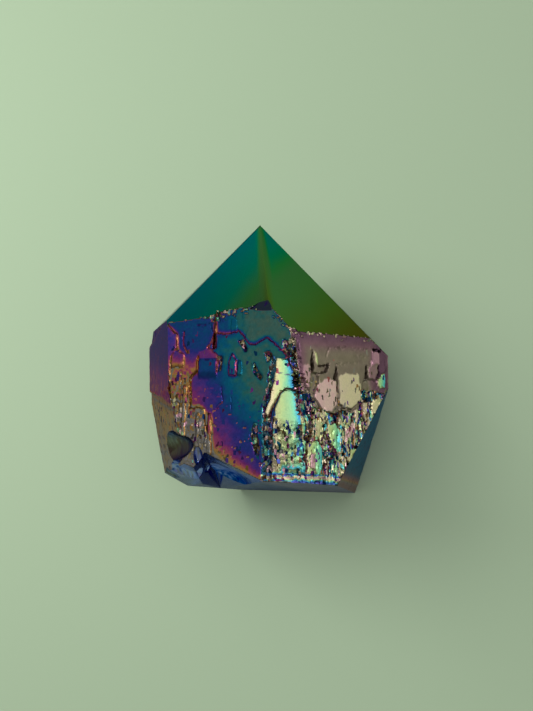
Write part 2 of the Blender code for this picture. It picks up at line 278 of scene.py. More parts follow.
strip = {  # the bright strip between the front and the right face: it drops away to the right
    "start": 8.5, "drop": 0.30,
    "upper": (0.75, [(9.3, 25.1), (11.6, 25.0), (12.7, 22.6), (13.2, 18.6), (11.5, 18.9), (10.3, 17.6),
        (9.3, 16.1), (8.5, 14.2), (7.9, 12.4), (7.2, 13.7), (8.1, 16.3), (8.9, 20.5), (9.2, 22.6)]),
    "house": (1.05, [(11.5, 18.7), (13.4, 18.2), (14.4, 15.1), (15.1, 10.9), (20, 6), (20, -3), (9.1, -3),
        (9.0, 11.1), (9.1, 13.0), (9.3, 14.8), (10.3, 17.1)]),
    "border": [(6.6, 15.0), (6.7, 12.4), (6.9, -3), (9.6, -3), (9.4, 11.0), (8.2, 13.0), (8.6, 18.0),
        (9.2, 22.6), (9.4, 25.1), (8.3, 25.6), (7.6, 21.6), (7.5, 19.0)],
    "left": ([-2, 3, 11, 13, 16, 20.5, 25], [9.1, 9.1, 9.0, 7.6, 8.2, 8.9, 9.3]),
    "right": ([-2, 4, 6, 11, 15, 18.5, 22.6, 25], [16.6, 16.3, 16.0, 15.1, 14.4, 13.4, 12.7, 11.8]),
    "upperFilm": ([0.0, 0.25, 0.5, 0.7, 0.85, 1.0], [0.40, 0.54, 0.64, 0.74, 0.84, 0.93]),
    "houseFilm": ([0.0, 0.15, 0.4, 0.72, 0.84, 0.93, 1.0], [0.30, 0.46, 0.58, 0.66, 0.74, 0.83, 0.93]),
    "joints": [
        ([(7.9, 12.4), (8.5, 14.2), (9.3, 16.1), (10.3, 17.6), (11.5, 18.9), (13.4, 18.4)], 0.20, 0.25),
        ([(9.3, 21.9), (12.9, 21.9)], 0.12, 0.05),
        ([(11.8, 24.8), (12.9, 22.6), (13.5, 18.4), (14.6, 15.1), (15.3, 10.9), (16.3, 5.0)], 0.22, 0.45),
    ],
}
baseFilm = ([-0.7, -0.35, -0.05, 0.15, 0.35, 0.6, 0.85, 0.9, 1.2, 1.6],  # rainbow just above the foot
            [0.98, 0.90, 0.82, 0.62, 0.40, 0.20, 0.02, 1.0, 0.90, 0.78])
rightGrowth = {
    "fieldTop": 15.4,  # level up to which the face is etched to blocks
    "plates": {
        "upper": (0.50, [(-12.8, 42), (-12.7, 29.5), (-11.8, 24.2), (-11.2, 21.5), (-10.1, 19.5),
            (-9.2, 18.6), (-8.6, 22.8), (-6.6, 22.8), (-6.6, 20.8), (-7.7, 19.0), (-7.6, 17.5), (-5.7, 15.4),
            (-2.9, 14.6), (-0.6, 15.0), (-0.5, 22.2), (0.3, 17.0), (1.9, 16.2), (4.8, 16.5), (7.3, 18.4),
            (7.5, 21.5), (8.6, 23.1), (9.5, 26.5), (10.1, 23.5), (12.1, 23.3), (12.9, 23.1), (13.7, 27.4),
            (14.1, 24.5), (16.5, 26.0), (16.5, 42)]),
        "tower": (0.75, [(11.5, 26.9), (13.9, 27.4), (14.3, 30.2), (11.7, 29.8)]),
    },
    "slots": [
        (0.45, [(-8.3, 27.6), (-7.9, 24.0), (-8.2, 23.0), (-9.0, 23.2)]),
        (0.4, [(-0.7, 25.8), (-0.3, 22.3), (-1.7, 22.1)]),
        (0.4, [(9.5, 26.7), (10.1, 23.3), (8.7, 23.1)]), (0.4, [(13.7, 27.5), (14.1, 24.5), (13.0, 23.1)]),
        (0.15, [(-6.6, 24.5), (-3.1, 25.0), (-3.8, 23.3), (-6.5, 22.8)]),
        (0.4, [(12.1, 30.1), (15.3, 30.7), (15.3, 31.1), (12.1, 30.5)]),
    ],
    "grooves": [
        ([(-3.9, 26.7), (-2.7, 28.9), (10.9, 30.6)], 0.16, 0.12), ([(5.4, 28.2), (10.8, 28.7)], 0.12, 0.08),
        ([(-0.3, 25.7), (8.8, 27.2)], 0.12, 0.10), ([(-0.5, 22.2), (-0.3, 17.0), (0.6, 14.4)], 0.18, 0.30),
    ],
    "islands": [  # film from left to right, brightness (painted light that the island catches), height, outline
        (0.20, 0.24, 0.97, 0.52, [(-7.7, 19.0), (-6.6, 20.8), (-4.4, 21.8), (-0.8, 22.2), (-0.5, 17.2),
            (-2.9, 15.0), (-5.7, 15.4), (-7.6, 17.5)]),
        (0.34, 0.38, 0.92, 0.52, [(0.3, 22.9), (2.2, 23.8), (6.7, 24.1), (7.5, 21.5), (7.2, 18.4),
            (4.8, 16.7), (1.9, 16.4), (0.4, 17.2)]),
        (0.40, 0.46, 0.95, 0.48, [(11.2, 18.6), (14.3, 19.9), (14.5, 17.1), (12.4, 15.4), (11.1, 15.8)]),
        (0.16, 0.22, 0.72, 0.52, [(-11.3, 24.1), (-8.9, 24.2), (-8.6, 23.0), (-9.4, 20.5), (-9.1, 18.7),
            (-10.1, 19.5), (-11.2, 21.5)]),
        (0.44, 0.60, 0.80, 0.55, [(-7.6, 27.8), (-6.9, 27.1), (-6.4, 24.5), (-7.3, 25.3)]),
        (0.16, 0.24, 0.42, 0.58, [(10.3, 26.6), (13.5, 27.5), (13.6, 25.2), (12.1, 23.5), (10.4, 23.8)]),
        (0.10, 0.16, 0.70, 0.70, [(11.7, 29.8), (14.3, 30.2), (13.9, 27.6), (11.3, 26.7)]),
        (0.50, 0.84, 0.95, 0.42, [(13.5, 23.9), (16.2, 25.8), (16.4, 22.4), (14.4, 22.2)]),
        (0.46, 0.80, 0.95, 0.55, [(-10.5, 7.6), (-9.5, 7.8), (-7.4, 8.4), (-5.9, 6.9), (-6.1, 1.5),
            (-10.4, 1.3)]),
        (0.14, 0.22, 0.95, 0.75, [(-9.5, 5.7), (-8.2, 5.8), (-8.1, 2.4), (-9.8, 2.3)]),
        (0.46, 0.80, 0.92, 0.42, [(-4.1, 12), (-1.2, 13), (0.1, 10), (0, 6.6), (-1.5, 6.5), (-3.8, 9.7)]),
        (0.18, 0.24, 0.90, 0.40, [(1.6, 11.0), (4.3, 13.5), (5.0, 12.8), (3.8, 10.2), (1.5, 9.1)]),
        (0.50, 0.80, 0.90, 0.42, [(-11.8, 8.8), (-10.6, 8.0), (-10.9, 5.4), (-11.9, 5.8)]),
        (0.50, 0.80, 0.85, 0.42, [(-12.0, 12.9), (-11.0, 12.0), (-10.9, 9.4), (-11.9, 9.8)]),
        (0.40, 0.86, 0.85, 0.34, [(3.3, 7.1), (5.9, 8.0), (7.9, 10.6), (5.7, 3.6), (2.7, 3.2)]),
        (0.22, 0.50, 0.90, 0.36, [(5.2, 16.2), (6.6, 16.6), (6.4, 13.2), (5.4, 12.2)]),
        (0.22, 0.46, 0.85, 0.36, [(8.2, 18.0), (9.6, 18.2), (9.6, 14.6), (8.6, 13.4)]),
        (0.36, 0.56, 0.80, 0.34, [(-7.6, 13.2), (-6.0, 13.6), (-5.2, 10.6), (-6.2, 8.4), (-7.4, 9.6)]),
    ],
    "bluePlate": [(-11.8, 18.4), (-8.4, 18.3), (-9.9, 14.8), (-11.0, 12.6), (-12.0, 13.7)],
    "glitter": [(-18, 30), (-12.9, 29.6), (-12.4, 24.0), (-11.2, 18.4), (-13.5, 16.8), (-18, 17.2)],
    "columns": [(11, -12.4, 9.0, -2.0, 6.0, 15, 0.20, 0.60), (12, -8.0, 9.0, 6.0, 14.5, 12, 0.20, 0.60)],
}
leftGrowth = {
    "plates": {
        "upper": (0.60, [(-13.2, 20.8), (20, 14.4), (20, 40), (9.8, 34.2), (-13.2, 31.4)]),
        "low": (0.40, [(-9.0, 2.0), (-2.6, 2.0), (-2.6, 14.6), (-5.4, 17.0), (-9.0, 15.4)]),
        "lower": (0.45, [(3.0, 2.0), (9.4, 2.0), (9.4, 11.6), (6.4, 14.0), (3.0, 12.2)]),
    },
    "columns": [(17, -13.0, 11.0, 4.0, 16.0, 8, 0.15, 0.50)],
}
lowerRightGrowth = {
    "columns": [(13, -13.0, 10.6, -1.0, 21.0, 12, 0.20, 0.75), (14, -11.0, 10.0, 12.0, 33.0, 7, 0.20, 0.50)],
}
lowerLeftGrowth = {
    "columns": [(15, -10.0, 13.0, 3.0, 24.0, 12, 0.20, 0.75), (16, -9.6, 11.0, 14.0, 32.0, 7, 0.20, 0.50)],
}
backGrowth = {
    "depth": 0.7,
    "pits": [(-8.5, 20.5, 2.2, 7.0), (-3.4, 12.0, 1.6, 5.0), (1.5, 22.0, 2.6, 9.0), (6.2, 9.0, 1.8, 6.0),
        (9.4, 18.5, 1.5, 5.0), (-10.6, 10.5, 1.5, 4.5), (3.0, 5.0, 2.0, 3.4)],
}


def grow(h, u, v, growth):
    for height, outline in growth.get("plates", {}).values():
        step(h, u, v, outline, height)
    for row in growth.get("columns", []):
        for height, outline in columnRow(*row):
            step(h, u, v, outline, height, 0.28)
    for depth, outline in growth.get("slots", []):
        step(h, u, v, outline, -depth)
    return h


def striations(u, v, seed):  # the fine steps across every grown quartz prism
    level = v * 1.9 + 1.2 * softNoise(u, v, 5.0, seed)
    return 0.02 * np.abs(level % 1.0 - 0.5) + 0.02 * softNoise(u, v, 0.9, seed + 1)


def panels(u, v, width, height, seed, most):  # faint flat growth panels, each a little higher or lower
    gap, own = blocks(u, v, width, height, seed)
    return most * own[..., 0] * smooth(gap, 0.0, 0.2)


def pointsOn(name, u, v):  # places in mm on a side's flat
    start, across, up, _ = axes[name]
    return start + u[..., None] * across + v[..., None] * up


def taperHeight(name, taper, u, v):  # a taper's height above a side
    turn, lean, reach = crystal[taper]
    normal = np.array(direction(turn, lean))
    return (reach - pointsOn(name, u, v) @ normal) / axes[name][3].dot(normal)


def facetGap(name, u, v):  # mm from a side to the nearest of the two upper polished facets
    fromTip = np.array(crystal["tip"]) - pointsOn(name, u, v)
    normals = (direction(*crystal["facets"][facet]) for facet in ("front", "right"))
    return np.minimum(*(fromTip @ np.array(normal) for normal in normals))


def chipped(name, u, v):  # small conchoidal nicks where the polish met a grown face
    own = blocks(u, v, 0.5, 0.5, 49)[1]
    return (facetGap(name, u, v) < 0.25 + 0.9 * own[..., 0]) * (own[..., 1] > 0.62)


def chipShare(u, v):
    return np.max([within(u, v, outline, 0.5) for outline in frontGrowth["chips"]], axis=0)


def fromBreak(u, v):  # mm on the front from the broken corner's edge
    spot = pointsOn("front", u, v)
    gaps = []
    for turn, lean, reach in (crystal["break"], breakage["deeper"]):
        normal = direction(turn, lean)
        gaps.append((reach - spot @ np.array(normal)) / math.hypot(normal.x, normal.y))
    return np.maximum(np.minimum(*gaps), 0.0)


def frontEdges(u, v):  # places with ragged edges for the plates, and with finer ones for the strip
    return ragged(u, v, 5) + ragged(u, v, 22, 0.08)


def frontBlocks(u, v):
    return blocks(u, v, 0.5, 0.7, 8)


def frontDashes(u, v):
    return dashes(u, v, 0.9, 0.42, 6, 0.15)


def stripShares(u, v):  # the strip's house, its upper plate, its etched border
    house = within(u, v, strip["house"][1], 0.25)
    upper = within(u, v, strip["upper"][1], 0.25) * (1 - house)
    border = within(u, v, strip["border"], 0.8) * (1 - np.maximum(house, upper))
    return house, upper, border


def frontRelief(u, v):
    h = striations(u, v, 3) + panels(u, v, 1.3, 4.2, 4, 0.07)
    a, b, c, d = frontEdges(u, v)
    grow(h, a, b, frontGrowth)
    plates = frontGrowth["plates"]
    low = plates["tomb"][0] - plates["main"][0]  # the tombstone sinks into the main plate at its foot
    h -= low * within(a, b, plates["tomb"][1]) * smooth(22.6 - v, 0.0, 2.2)
    h -= 0.10 * frontDashes(u, v) * smooth(18 - v, 0, 8)
    h -= grooved(a, b, frontGrowth["grooves"])
    gap, own = frontBlocks(u, v)
    h -= chipShare(a, b) * (0.15 + 0.40 * own[..., 1])
    house, upper, border = stripShares(c, d)
    h -= 0.35 * border * own[..., 1] * smooth(gap, 0.0, 0.12)
    slope = strip["drop"] * (u - strip["start"])
    gap, own = blocks(u, v, 0.45, 0.55, 25)
    pitted = 0.16 * (own[..., 1] > 0.62) * smooth(gap, 0.0, 0.1) * smooth(12.5 - v, 0.0, 2.0)
    h += (strip["upper"][0] - slope - h) * upper + (strip["house"][0] - slope - pitted - h) * house
    beyond = smooth(u - np.interp(v, *strip["right"]), 0.0, 0.3) * smooth(24.0 - v, 0.0, 1.0)
    h += (strip["house"][0] - 0.5 - slope - h) * beyond
    return h - grooved(c, d, strip["joints"]) - 0.25 * chipped("front", u, v)


def rightField(u, v):  # 1 where the right face is etched to blocks
    top = rightGrowth["fieldTop"] + 1.6 * (softNoise(u, v, 2.2, 31) - 0.5)
    top += 6.0 * smooth(u, 6.5, 8.6) + 2.4 * smooth(-u, 7.0, 8.2)
    return smooth(top - v, 0.0, 0.4)


def rightEdges(u, v):  # places with ragged edges for the plates, and with coarser ones for the etched field
    return ragged(u, v, 32, 0.22) + ragged(u, v, 35, 0.5)


def rightBlocks(u, v):  # coarse and fine blocks of the etched field, each with its gap
    return blocks(u, v, 0.8, 1.7, 33) + blocks(u, v, 0.42, 0.5, 34)


def pillarShare(u, v, rows):  # where the gabled columns are, and how far across each a point lies
    share, across = np.zeros(u.shape), np.zeros(u.shape)
    for row in rows:
        for _, outline in columnRow(*row):
            inside = within(u, v, outline, 0.2)
            left, right = outline[0][0], outline[1][0]
            across = np.where(inside > 0.5, (u - left) / (right - left), across)
            share = np.maximum(share, inside)
    return share, across


def islandShares(u, v):  # each bright island: its row in the table, its share, how far across it
    shares = []
    for row in rightGrowth["islands"]:
        us = [point[0] for point in row[-1]]
        shares.append((row, within(u, v, row[-1], 0.2), np.clip((u - min(us)) / (max(us) - min(us)), 0, 1)))
    return shares


def remnants(u, v):  # lumps whose flat tops are left between the etched blocks, and how far across each
    lumps, before, after = (softNoise(u + aside, v / 2.6, 1.25, 36) for aside in (0.0, -0.3, 0.3))
    return lumps, smooth(lumps, 0.60, 0.64), np.clip(0.5 - 1.6 * (after - before), 0, 1)


def rightRelief(u, v):
    h = striations(u, v, 7) + panels(u, v, 2.2, 2.6, 9, 0.06)
    a, b, c, d = rightEdges(u, v)
    grow(h, a, b, rightGrowth)
    h -= grooved(a, b, rightGrowth["grooves"])
    gap, own, fineGap, fine = rightBlocks(c, d)
    etched = 0.30 * own[..., 0] * smooth(gap, 0.0, 0.2) + 0.22 * fine[..., 0] * smooth(fineGap, 0.0, 0.12)
    etched -= 0.35
    etched += remnants(c, d)[1] * (0.35 - etched)
    field = rightField(u, v)
    h += field * (np.maximum(etched, h - 0.6 * (h < 0.2)) - h)
    for (*_, height, _), share, _ in islandShares(a, b):
        h += share * (height - h)
    h += within(a, b, rightGrowth["bluePlate"], 0.4) * (0.2 - 0.15 * (a + 10) - h)
    h -= 0.12 * (fine[..., 0] > 0.90) * smooth(fineGap, 0, 0.1) * field
    glitter = within(u, v, rightGrowth["glitter"], 0.6)
    return h + glitter * (0.7 * fine[..., 1] * smooth(fineGap, 0, 0.15) - 0.35) - 0.2 * chipped("right", u, v)


def leftRelief(u, v):
    a, b = ragged(u, v, 11)
    h = grow(striations(u, v, 11) + panels(u, v, 1.6, 4.0, 12, 0.08), a, b, leftGrowth)
    taper = taperHeight("left", "leftTaper", u, v) + striations(u, v, 14) + panels(u, v, 1.2, 3.0, 16, 0.12)
    return np.minimum(h, taper)


def lowerRelief(u, v, growth, seed, panelSeed):
    a, b = ragged(u, v, seed)
    return grow(striations(u, v, seed) + panels(u, v, 1.8, 4.0, panelSeed, 0.08), a, b, growth)


def backRelief(u, v):
    h = -striations(u, v, 19) - panels(u, v, 2.5, 5.0, 20, 0.05)
    a, b = ragged(u, v, 21, 0.3)
    for across, up, width, length in backGrowth["pits"]:
        step(h, a, b, gabled(across, up - length / 2, width, length), -backGrowth["depth"])
    return h


reliefs = {
    "front": frontRelief, "right": rightRelief, "back": backRelief, "left": leftRelief,
    "lowerRight": lambda u, v: lowerRelief(u, v, lowerRightGrowth, 13, 17),
    "lowerLeft": lambda u, v: lowerRelief(u, v, lowerLeftGrowth, 15, 18),
}


# film on each side; a look is (order of the colours in the film, share of pale etched film, brightness)
wallOrder = 0.46  # gold, as on every wall between two plates
frontLook = {
    "start": 0.548, "across": 0.0225, "up": 0.0135,  # order at the foot, and what it gains per mm
    "even": 26, "most": 0.93,  # level above which it gains no more, and the highest order
    "besideBreak": (0.23, 2.1),  # what it loses beside the break, and over how many mm
    "topBand": (0.06, 28.5, 30.5),  # what it loses above the top ledge, from and to which level
    "corner": ([0, 8, 12, 15, 17, 20, 23.5, 25, 28, 34, 38],
               [0.31, 0.33, 0.36, 0.39, 0.42, 0.455, 0.50, 0.60, 0.735, 0.765, 0.81]),
    "left": ([17, 17.6, 18.2, 24.5, 26.5, 33], [0.42, 0.46, 0.57, 0.575, 0.64, 0.68]),
    "tomb": (0.765, 0.175),  # its foot, and what it loses above its ledge
    "darkChip": (0.93, 0.0, 0.75),
    "border": (0.96, 0.15, 0.95), "borderCrack": (0.80, 0.0, 0.25),
    "glint": (0.80, 1.0, 0.95), "seam": (0.66, 0.0, 0.35),
    "stripBright": (0.92, 0.80, 0.22),  # upper plate, house, and what the house gains to the right: pale film with a painted highlight where the strip catches the light
}
rightLook = {
    "order": (0.04, 0.27, 4.5),  # at the upper plate's edges, gained inside them, over how many mm
    # brightness between the islands: painted shade of a face turned from the light
    "bright": 0.30,
    "edges": (31.8, 13.0, 14.0),  # top of the upper plate, and how far it reaches to the left and right
    # pit: dark film, darkened further by painted shade in the etch pits
    "pit": (0.90, 0.0, 0.30), "seam": (0.56, 0.0, 0.7), "darkGlitter": (0.86, 0.0, 0.6),
    "lump": ([0.0, 0.35, 0.6, 0.8, 1.0], [0.18, 0.34, 0.50, 0.72, 0.88]),
    "glitter": ([0, 0.3, 0.6, 1.0], [0.30, 0.52, 0.80, 0.92]),
}
leftLook = {
    "lowerEdge": (18.1, 0.205),  # level of the upper plate's lower edge, and its fall to the right
    "order": ([-14, -9, -5, -1.6, -1.2, -0.9, -0.2, 0.5, 5, 9, 15, 19],  # mm from that edge
              [0.37, 0.40, 0.415, 0.42, 0.34, 0.44, 0.46, 0.55, 0.575, 0.63, 0.66, 0.69]),
}
hiddenLooks = {  # order, its clouds, their size, its small clouds, order lost at the foot, seed
    "lowerRight": (0.80, 0.10, 5.0, 0.04, 0.12, 81),
    "lowerLeft": (0.58, 0.14, 6.0, 0.05, 0.0, 91),
    "back": (0.48, 0.14, 7.0, 0.05, 0.0, 95),  # thinner film where the crystal lay in the coating chamber
}


def moved(value, rows):  # a value after each row has moved it towards the row's goal, by the row's share
    for goal, share in rows:
        value = value + (goal - value) * share
    return value


def layered(values, rows):  # film, pale and tone under rows of (look, share)
    return [moved(value, [(look[place], share) for look, share in rows])
            for place, value in enumerate(values)]


def footLook(u, v, bright):  # the rainbow just above the foot
    return np.interp(v + 0.35 * mottle(u, v, 0.7, 53), *baseFilm), 1.0, bright


def frontFilm(u, v):
    look, plates = frontLook, frontGrowth["plates"]
    a, b, c, d = frontEdges(u, v)
    away = fromBreak(u, v)
    loss, over = look["besideBreak"]
    film = look["start"] + look["across"] * u + look["up"] * np.minimum(v, look["even"])
    film -= loss * np.exp(-away / over)
    loss, low, high = look["topBand"]
    film = np.minimum(film - loss * smooth(v, low, high), look["most"])
    film += 0.030 * mottle(u, v, 0.9, 41) + 0.030 * mottle(u, v, 3.5, 42)
    film += (0.455 - film) * frontDashes(u, v) * smooth(16 - away, 0, 8)
    own = frontBlocks(u, v)[1]
    corner, leftPlate = (within(a, b, plates[name][1]) for name in ("corner", "left"))
    cornerFilm = np.interp(v + 0.25 * u + 2.6, *look["corner"])
    cornerFilm += (0.10 * mottle(u, v, 0.55, 43) + 0.10 * (own[..., 2] - 0.5)) * smooth(24.5 - v, 0, 3)
    cornerFilm += 0.02 * mottle(u, v, 0.5, 44)
    foot, loss = look["tomb"]
    film = moved(film, [
        (cornerFilm, corner), (np.interp(v, *look["left"]) + 0.03 * mottle(u, v, 0.5, 45), leftPlate),
        (foot - loss * smooth(v, 24.9, 25.2), within(a, b, plates["tomb"][1]) * smooth(v, 20.0, 22.5))])
    tone = 0.98 + 0.12 * mottle(u, v, 0.3, 46) + 0.25 * leftPlate
    speck = 0.15 + 0.75 * own[..., 2]
    chips = chipShare(a, b)
    house, upper, border = stripShares(c, d)
    left, right = np.interp(v, *strip["left"]), np.interp(v, *strip["right"])
    along = np.clip((u - left) / (right - left), 0, 1) + 0.04 * mottle(u, v, 0.8, 51)
    # painted highlight: the strip's brightness, rising to the right
    upperBright, houseBright, gain = look["stripBright"]
    bright = houseBright + gain * smooth(along, 0.55, 0.85)
    seam = np.min([lineDistance(c, d, line) / width for line, width, _ in strip["joints"]], axis=0)
    foot = smooth(1.5 - v, 0.0, 0.3) * smooth(u, 6.6, 7.6)
    values = layered([film, np.zeros(u.shape), tone], [
        (look["darkChip"], chips * (own[..., 1] < 0.6)),
        ((speck, 1.0, 0.85), chips * (own[..., 1] > 0.72)),
        ((speck, 1.0, 0.95), chipped("front", u, v) * 0.8),
        (look["border"], border), (look["borderCrack"], border * (own[..., 0] > 0.88)),
        ((np.interp(along, *strip["upperFilm"]), 1.0, upperBright), upper),
        ((np.interp(along, *strip["houseFilm"]), 1.0, bright), house),
        (look["glint"], house * smooth(3.6 - v, 0, 1.2) * smooth(mottle(u, v, 0.9, 52), 0, 0.3)),
        (look["seam"], smooth(1 - seam, 0.3, 0.7) * smooth(25.3 - v, 0, 0.3)),
        (footLook(u, v, 1.0), foot)])
    speckled = np.maximum(smooth(12.5 - v, 0.0, 2.5), smooth(15.5 - v, 0, 2.5) * smooth(0.45 - along, 0, 0.2))
    fleck = 0.02 + 0.10 * smooth(14 - away, 0, 12) + 0.14 * corner * smooth(24.0 - v, 0, 3)
    return values + [moved(fleck, [(0.70, chips), (0.60, border), (0.01, upper), (0.04, house),
                                   (0.42, house * speckled), (0.25, foot)])]


def rightFilm(u, v):
    look = rightLook
    a, b, c, d = rightEdges(u, v)
    low, gain, over = look["order"]
    top, left, right = look["edges"]
    edge = np.minimum(np.minimum(top + 0.1 * u - v, u + left), right - u)
    order = low + gain * smooth(edge, 0.0, over) + 0.02 * mottle(u, v, 1.5, 61)
    # painted shade over the whole face; the islands further on are painted brighter, as painted light
    tone = look["bright"] + 0.03 * mottle(u, v, 0.8, 62) + 0.02 * mottle(u, v, 0.25, 66)
    _, own, _, fine = rightBlocks(c, d)
    field = rightField(u, v)
    speck = 0.12 + 0.75 * own[..., 1]
    lumps, inside, toRight = remnants(c, d)
    pillars, along = pillarShare(a, b, rightGrowth["columns"])
    unpitted = fine[..., 0] < 0.85
    rows = [
        ((0.86 + 0.12 * fine[..., 1], 0.0, 0.25 + 0.75 * fine[..., 2]), field),
        ((speck, 1.0, 0.75), field * (fine[..., 0] > 0.80)),
        ((np.interp(toRight, *look["lump"]), 1.0, 0.95), field * inside * unpitted),
        ((0.50 + 0.16 * own[..., 0], 0.0, 0.8), field * smooth(0.05 - np.abs(lumps - 0.60), 0.0, 0.03)),
        ((0.14 + 0.78 * along, 1.0, 0.85), field * (pillars > 0.5) * (own[..., 2] > 0.55) * unpitted),
        ((0.74 - 0.05 * (a + 10), 0.0, 0.8), within(a, b, rightGrowth["bluePlate"], 0.3))]
    clean = np.zeros(u.shape)
    cloud = 0.03 * mottle(u, v, 0.9, 63)
    for (first, last, bright, _, _), share, along in islandShares(a, b):
        rows.append(((first + (last - first) * along + cloud, 1.0, bright), share))
        rows.append((look["seam"], smooth(1 - np.abs(share - 0.5) * 2, 0.2, 0.8) * field))
        clean = np.maximum(clean, share)
    glitter = within(u, v, rightGrowth["glitter"], 0.6)
    foot = smooth(1.5 - v, 0.0, 0.3)
    rows += [
        # painted shade in the etch pits
        (look["pit"], (fine[..., 0] > 0.90) * smooth(23 - v, 0, 4) * (v < 23) * (1 - clean)),
        ((np.interp(fine[..., 2], *look["glitter"]), 1.0, 0.8), glitter * (fine[..., 1] > 0.55)),
        (look["darkGlitter"], glitter * (fine[..., 1] <= 0.55)),
        ((speck, 1.0, 0.9), 0.8 * chipped("right", u, v)),
        (footLook(u, v, 0.9), foot)]
    fleck = moved(0.015 + 0.05 * smooth(23 - v, 0, 4),
                  [(0.52, field), (0.85, glitter), (0.10, clean), (0.20, foot)])
    return layered([order, np.ones(u.shape), tone], rows) + [fleck]


def leftFilm(u, v):
    level, fall = leftLook["lowerEdge"]
    above = v - (level - fall * u)
    film = np.interp(above, *leftLook["order"])
    film += 0.030 * mottle(u, v, 1.0, 71) + 0.04 * mottle(u, v, 0.5, 73) * smooth(above, 6, 12)
    film -= 0.09 * smooth(mottle(u, v, 0.8, 75), 0.1, 0.7) * smooth(above, 0, 1) * smooth(8 - above, 0, 4)
    film += (wallOrder - film) * dashes(u, v, 0.8, 0.5, 74, 0.10)
    tone = 1.3 - 0.3 * smooth(above, 5, 9) + 0.65 * smooth(-above, 0.5, 3) + 0.15 * mottle(u, v, 0.4, 72)
    return film, np.zeros(u.shape), tone, 0.03 + 0.11 * smooth(-above, 0, 4)


def hiddenFilm(name, u, v):
    order, clouds, size, small, loss, seed = hiddenLooks[name]
    film = order + clouds * mottle(u, v, size, seed) + small * mottle(u, v, 0.9, seed + 1)
    film -= loss * smooth(14 - v, 0, 14)
    return film, np.zeros(u.shape), 0.85 + 0.08 * mottle(u, v, 0.5, seed + 2), 0.05


films = {"front": frontFilm, "right": rightFilm, "left": leftFilm}
fieldNames = ("film", "pale", "tone", "fleck")


# the grown prism: one mesh wrapped round the sides, each point moved out by the relief

def levelCorner(one, other, y):  # where two flats meet at each level
    (aTurn, aLean, aReach), (bTurn, bLean, bReach) = flats[one], flats[other]
    aLean, bLean = math.radians(aLean), math.radians(bLean)
    a, b = direction(aTurn), direction(bTurn)
    aFar = (aReach - math.sin(aLean) * y) / math.cos(aLean)
    bFar = (bReach - math.sin(bLean) * y) / math.cos(bLean)
    turned = a.x * b.z - a.z * b.x
    return np.stack([(aFar * b.z - bFar * a.z) / turned, y, (bFar * a.x - aFar * b.x) / turned], -1)


def cornerShift(one, other, corner):  # height of the corner, and how far along each side it moves
    turn = math.radians((flats[other][0] - flats[one][0]) % 360)
    most = crystal["cornerReach"]
    places, moves = [], [0.0, 0.0]
    for name in (one, other):
        start, across, up, _ = axes[name]
        places.append(((corner - start) @ across, (corner - start) @ up))
    for _ in range(3):
        a = reliefs[one](places[0][0] + moves[0], places[0][1])
        b = reliefs[other](places[1][0] + moves[1], places[1][1])
        moves[0] = np.clip((b - a * math.cos(turn)) / math.sin(turn), -most, most)
        moves[1] = np.clip(-(a - b * math.cos(turn)) / math.sin(turn), -most, most)
    return b, moves[0], moves[1]


def spread(h, reach):  # mean over a small square
    for axis in (0, 1):
        pad = [(reach, reach) if a == axis else (0, 0) for a in (0, 1)]
        wide = np.pad(h, pad, mode="edge")
        count = h.shape[axis]
        h = sum(np.take(wide, range(k, k + count), axis) for k in range(2 * reach + 1)) / (2 * reach + 1)
    return h


def overRelief(h, cell, reach, look):  # the film follows the relief: gold on walls and thinner at their foot, with painted shade in the hollows
    film, pale, tone, fleck = look
    slope = np.hypot(np.gradient(h, axis=1) / cell[0], np.gradient(h, axis=0) / cell[1])
    wall = smooth(slope, 0.7, 1.8)
    proud = h - spread(h, reach)
    dark = 1 - pale
    film = film - dark * (0.26 * smooth(-proud, 0.01, 0.20) + 0.5 * np.clip(proud, 0, 0.08))
    film = film + (wallOrder - film) * smooth(slope, 0.35, 0.9) * dark * 0.9
    tone = tone + (0.98 - tone) * wall * dark
    # painted shade: darker where the relief sinks below its surroundings, and on walls in the pale film
    tone = tone * (1 - 0.75 * smooth(-proud, 0.30, 0.60)) * (1 - 0.25 * wall * pale)
    return np.stack([film, pale, tone, np.broadcast_to(fleck, h.shape)], -1)


def grownSides():  # points (rows, columns, 3) and the film fields round the whole crystal
    low, high, steps = crystal["rows"]
    y = np.linspace(low, high, steps + 1)
    around = list(zip(names, names[1:] + names[:1]))
    corners = {pair: levelCorner(*pair, y) for pair in around}
    shifts = {pair: cornerShift(*pair, corners[pair]) for pair in around}
    points, fields = [], []
    for place, name in enumerate(names):
        before, after = around[place - 1], around[place]
        columns = crystal["sides"][name][1]
        start, across, up, out = axes[name]
        flatOut = out * [1, 0, 1]
        flatOut = flatOut / flatOut.dot(out)
        share = np.arange(columns) / columns
        left, right = corners[before][:, None], corners[after][:, None]
        width = np.linalg.norm(right - left, axis=-1)
        blend = np.minimum(0.48 * width, crystal["cornerBlend"])
        move = shifts[before][2][:, None] * np.clip(1 - width * share / blend, 0, 1)
        move = move + shifts[after][1][:, None] * np.clip(1 - width * (1 - share) / blend, 0, 1)
        u = (left + (right - left) * share[:, None] - start) @ across + move
        v = np.broadcast_to(((y - start[1]) / up[1])[:, None], u.shape)
        h = reliefs[name](u, v)
        h[:, 0] = shifts[before][0]
        points.append(pointsOn(name, u, v) + h[..., None] * flatOut)
        look = films[name](u, v) if name in films else hiddenFilm(name, u, v)
        fields.append(overRelief(h, (width / columns, (high - low) / steps), 4 if columns > 100 else 2, look))
    return np.concatenate(points, 1), np.concatenate(fields, 1)


def readOut(items, name, kind=np.float32, each=1):
    values = np.empty(len(items) * each, kind)
    items.foreach_get(name, values)
    return values if each == 1 else values.reshape(-1, each)


def writePoints(mesh, values):  # the numbers of each point, as attributes
    for place, name in enumerate(fieldNames):
        attribute = mesh.attributes.new(name, "FLOAT", "POINT")
        attribute.data.foreach_set("value", np.ascontiguousarray(values[:, place], np.float32))


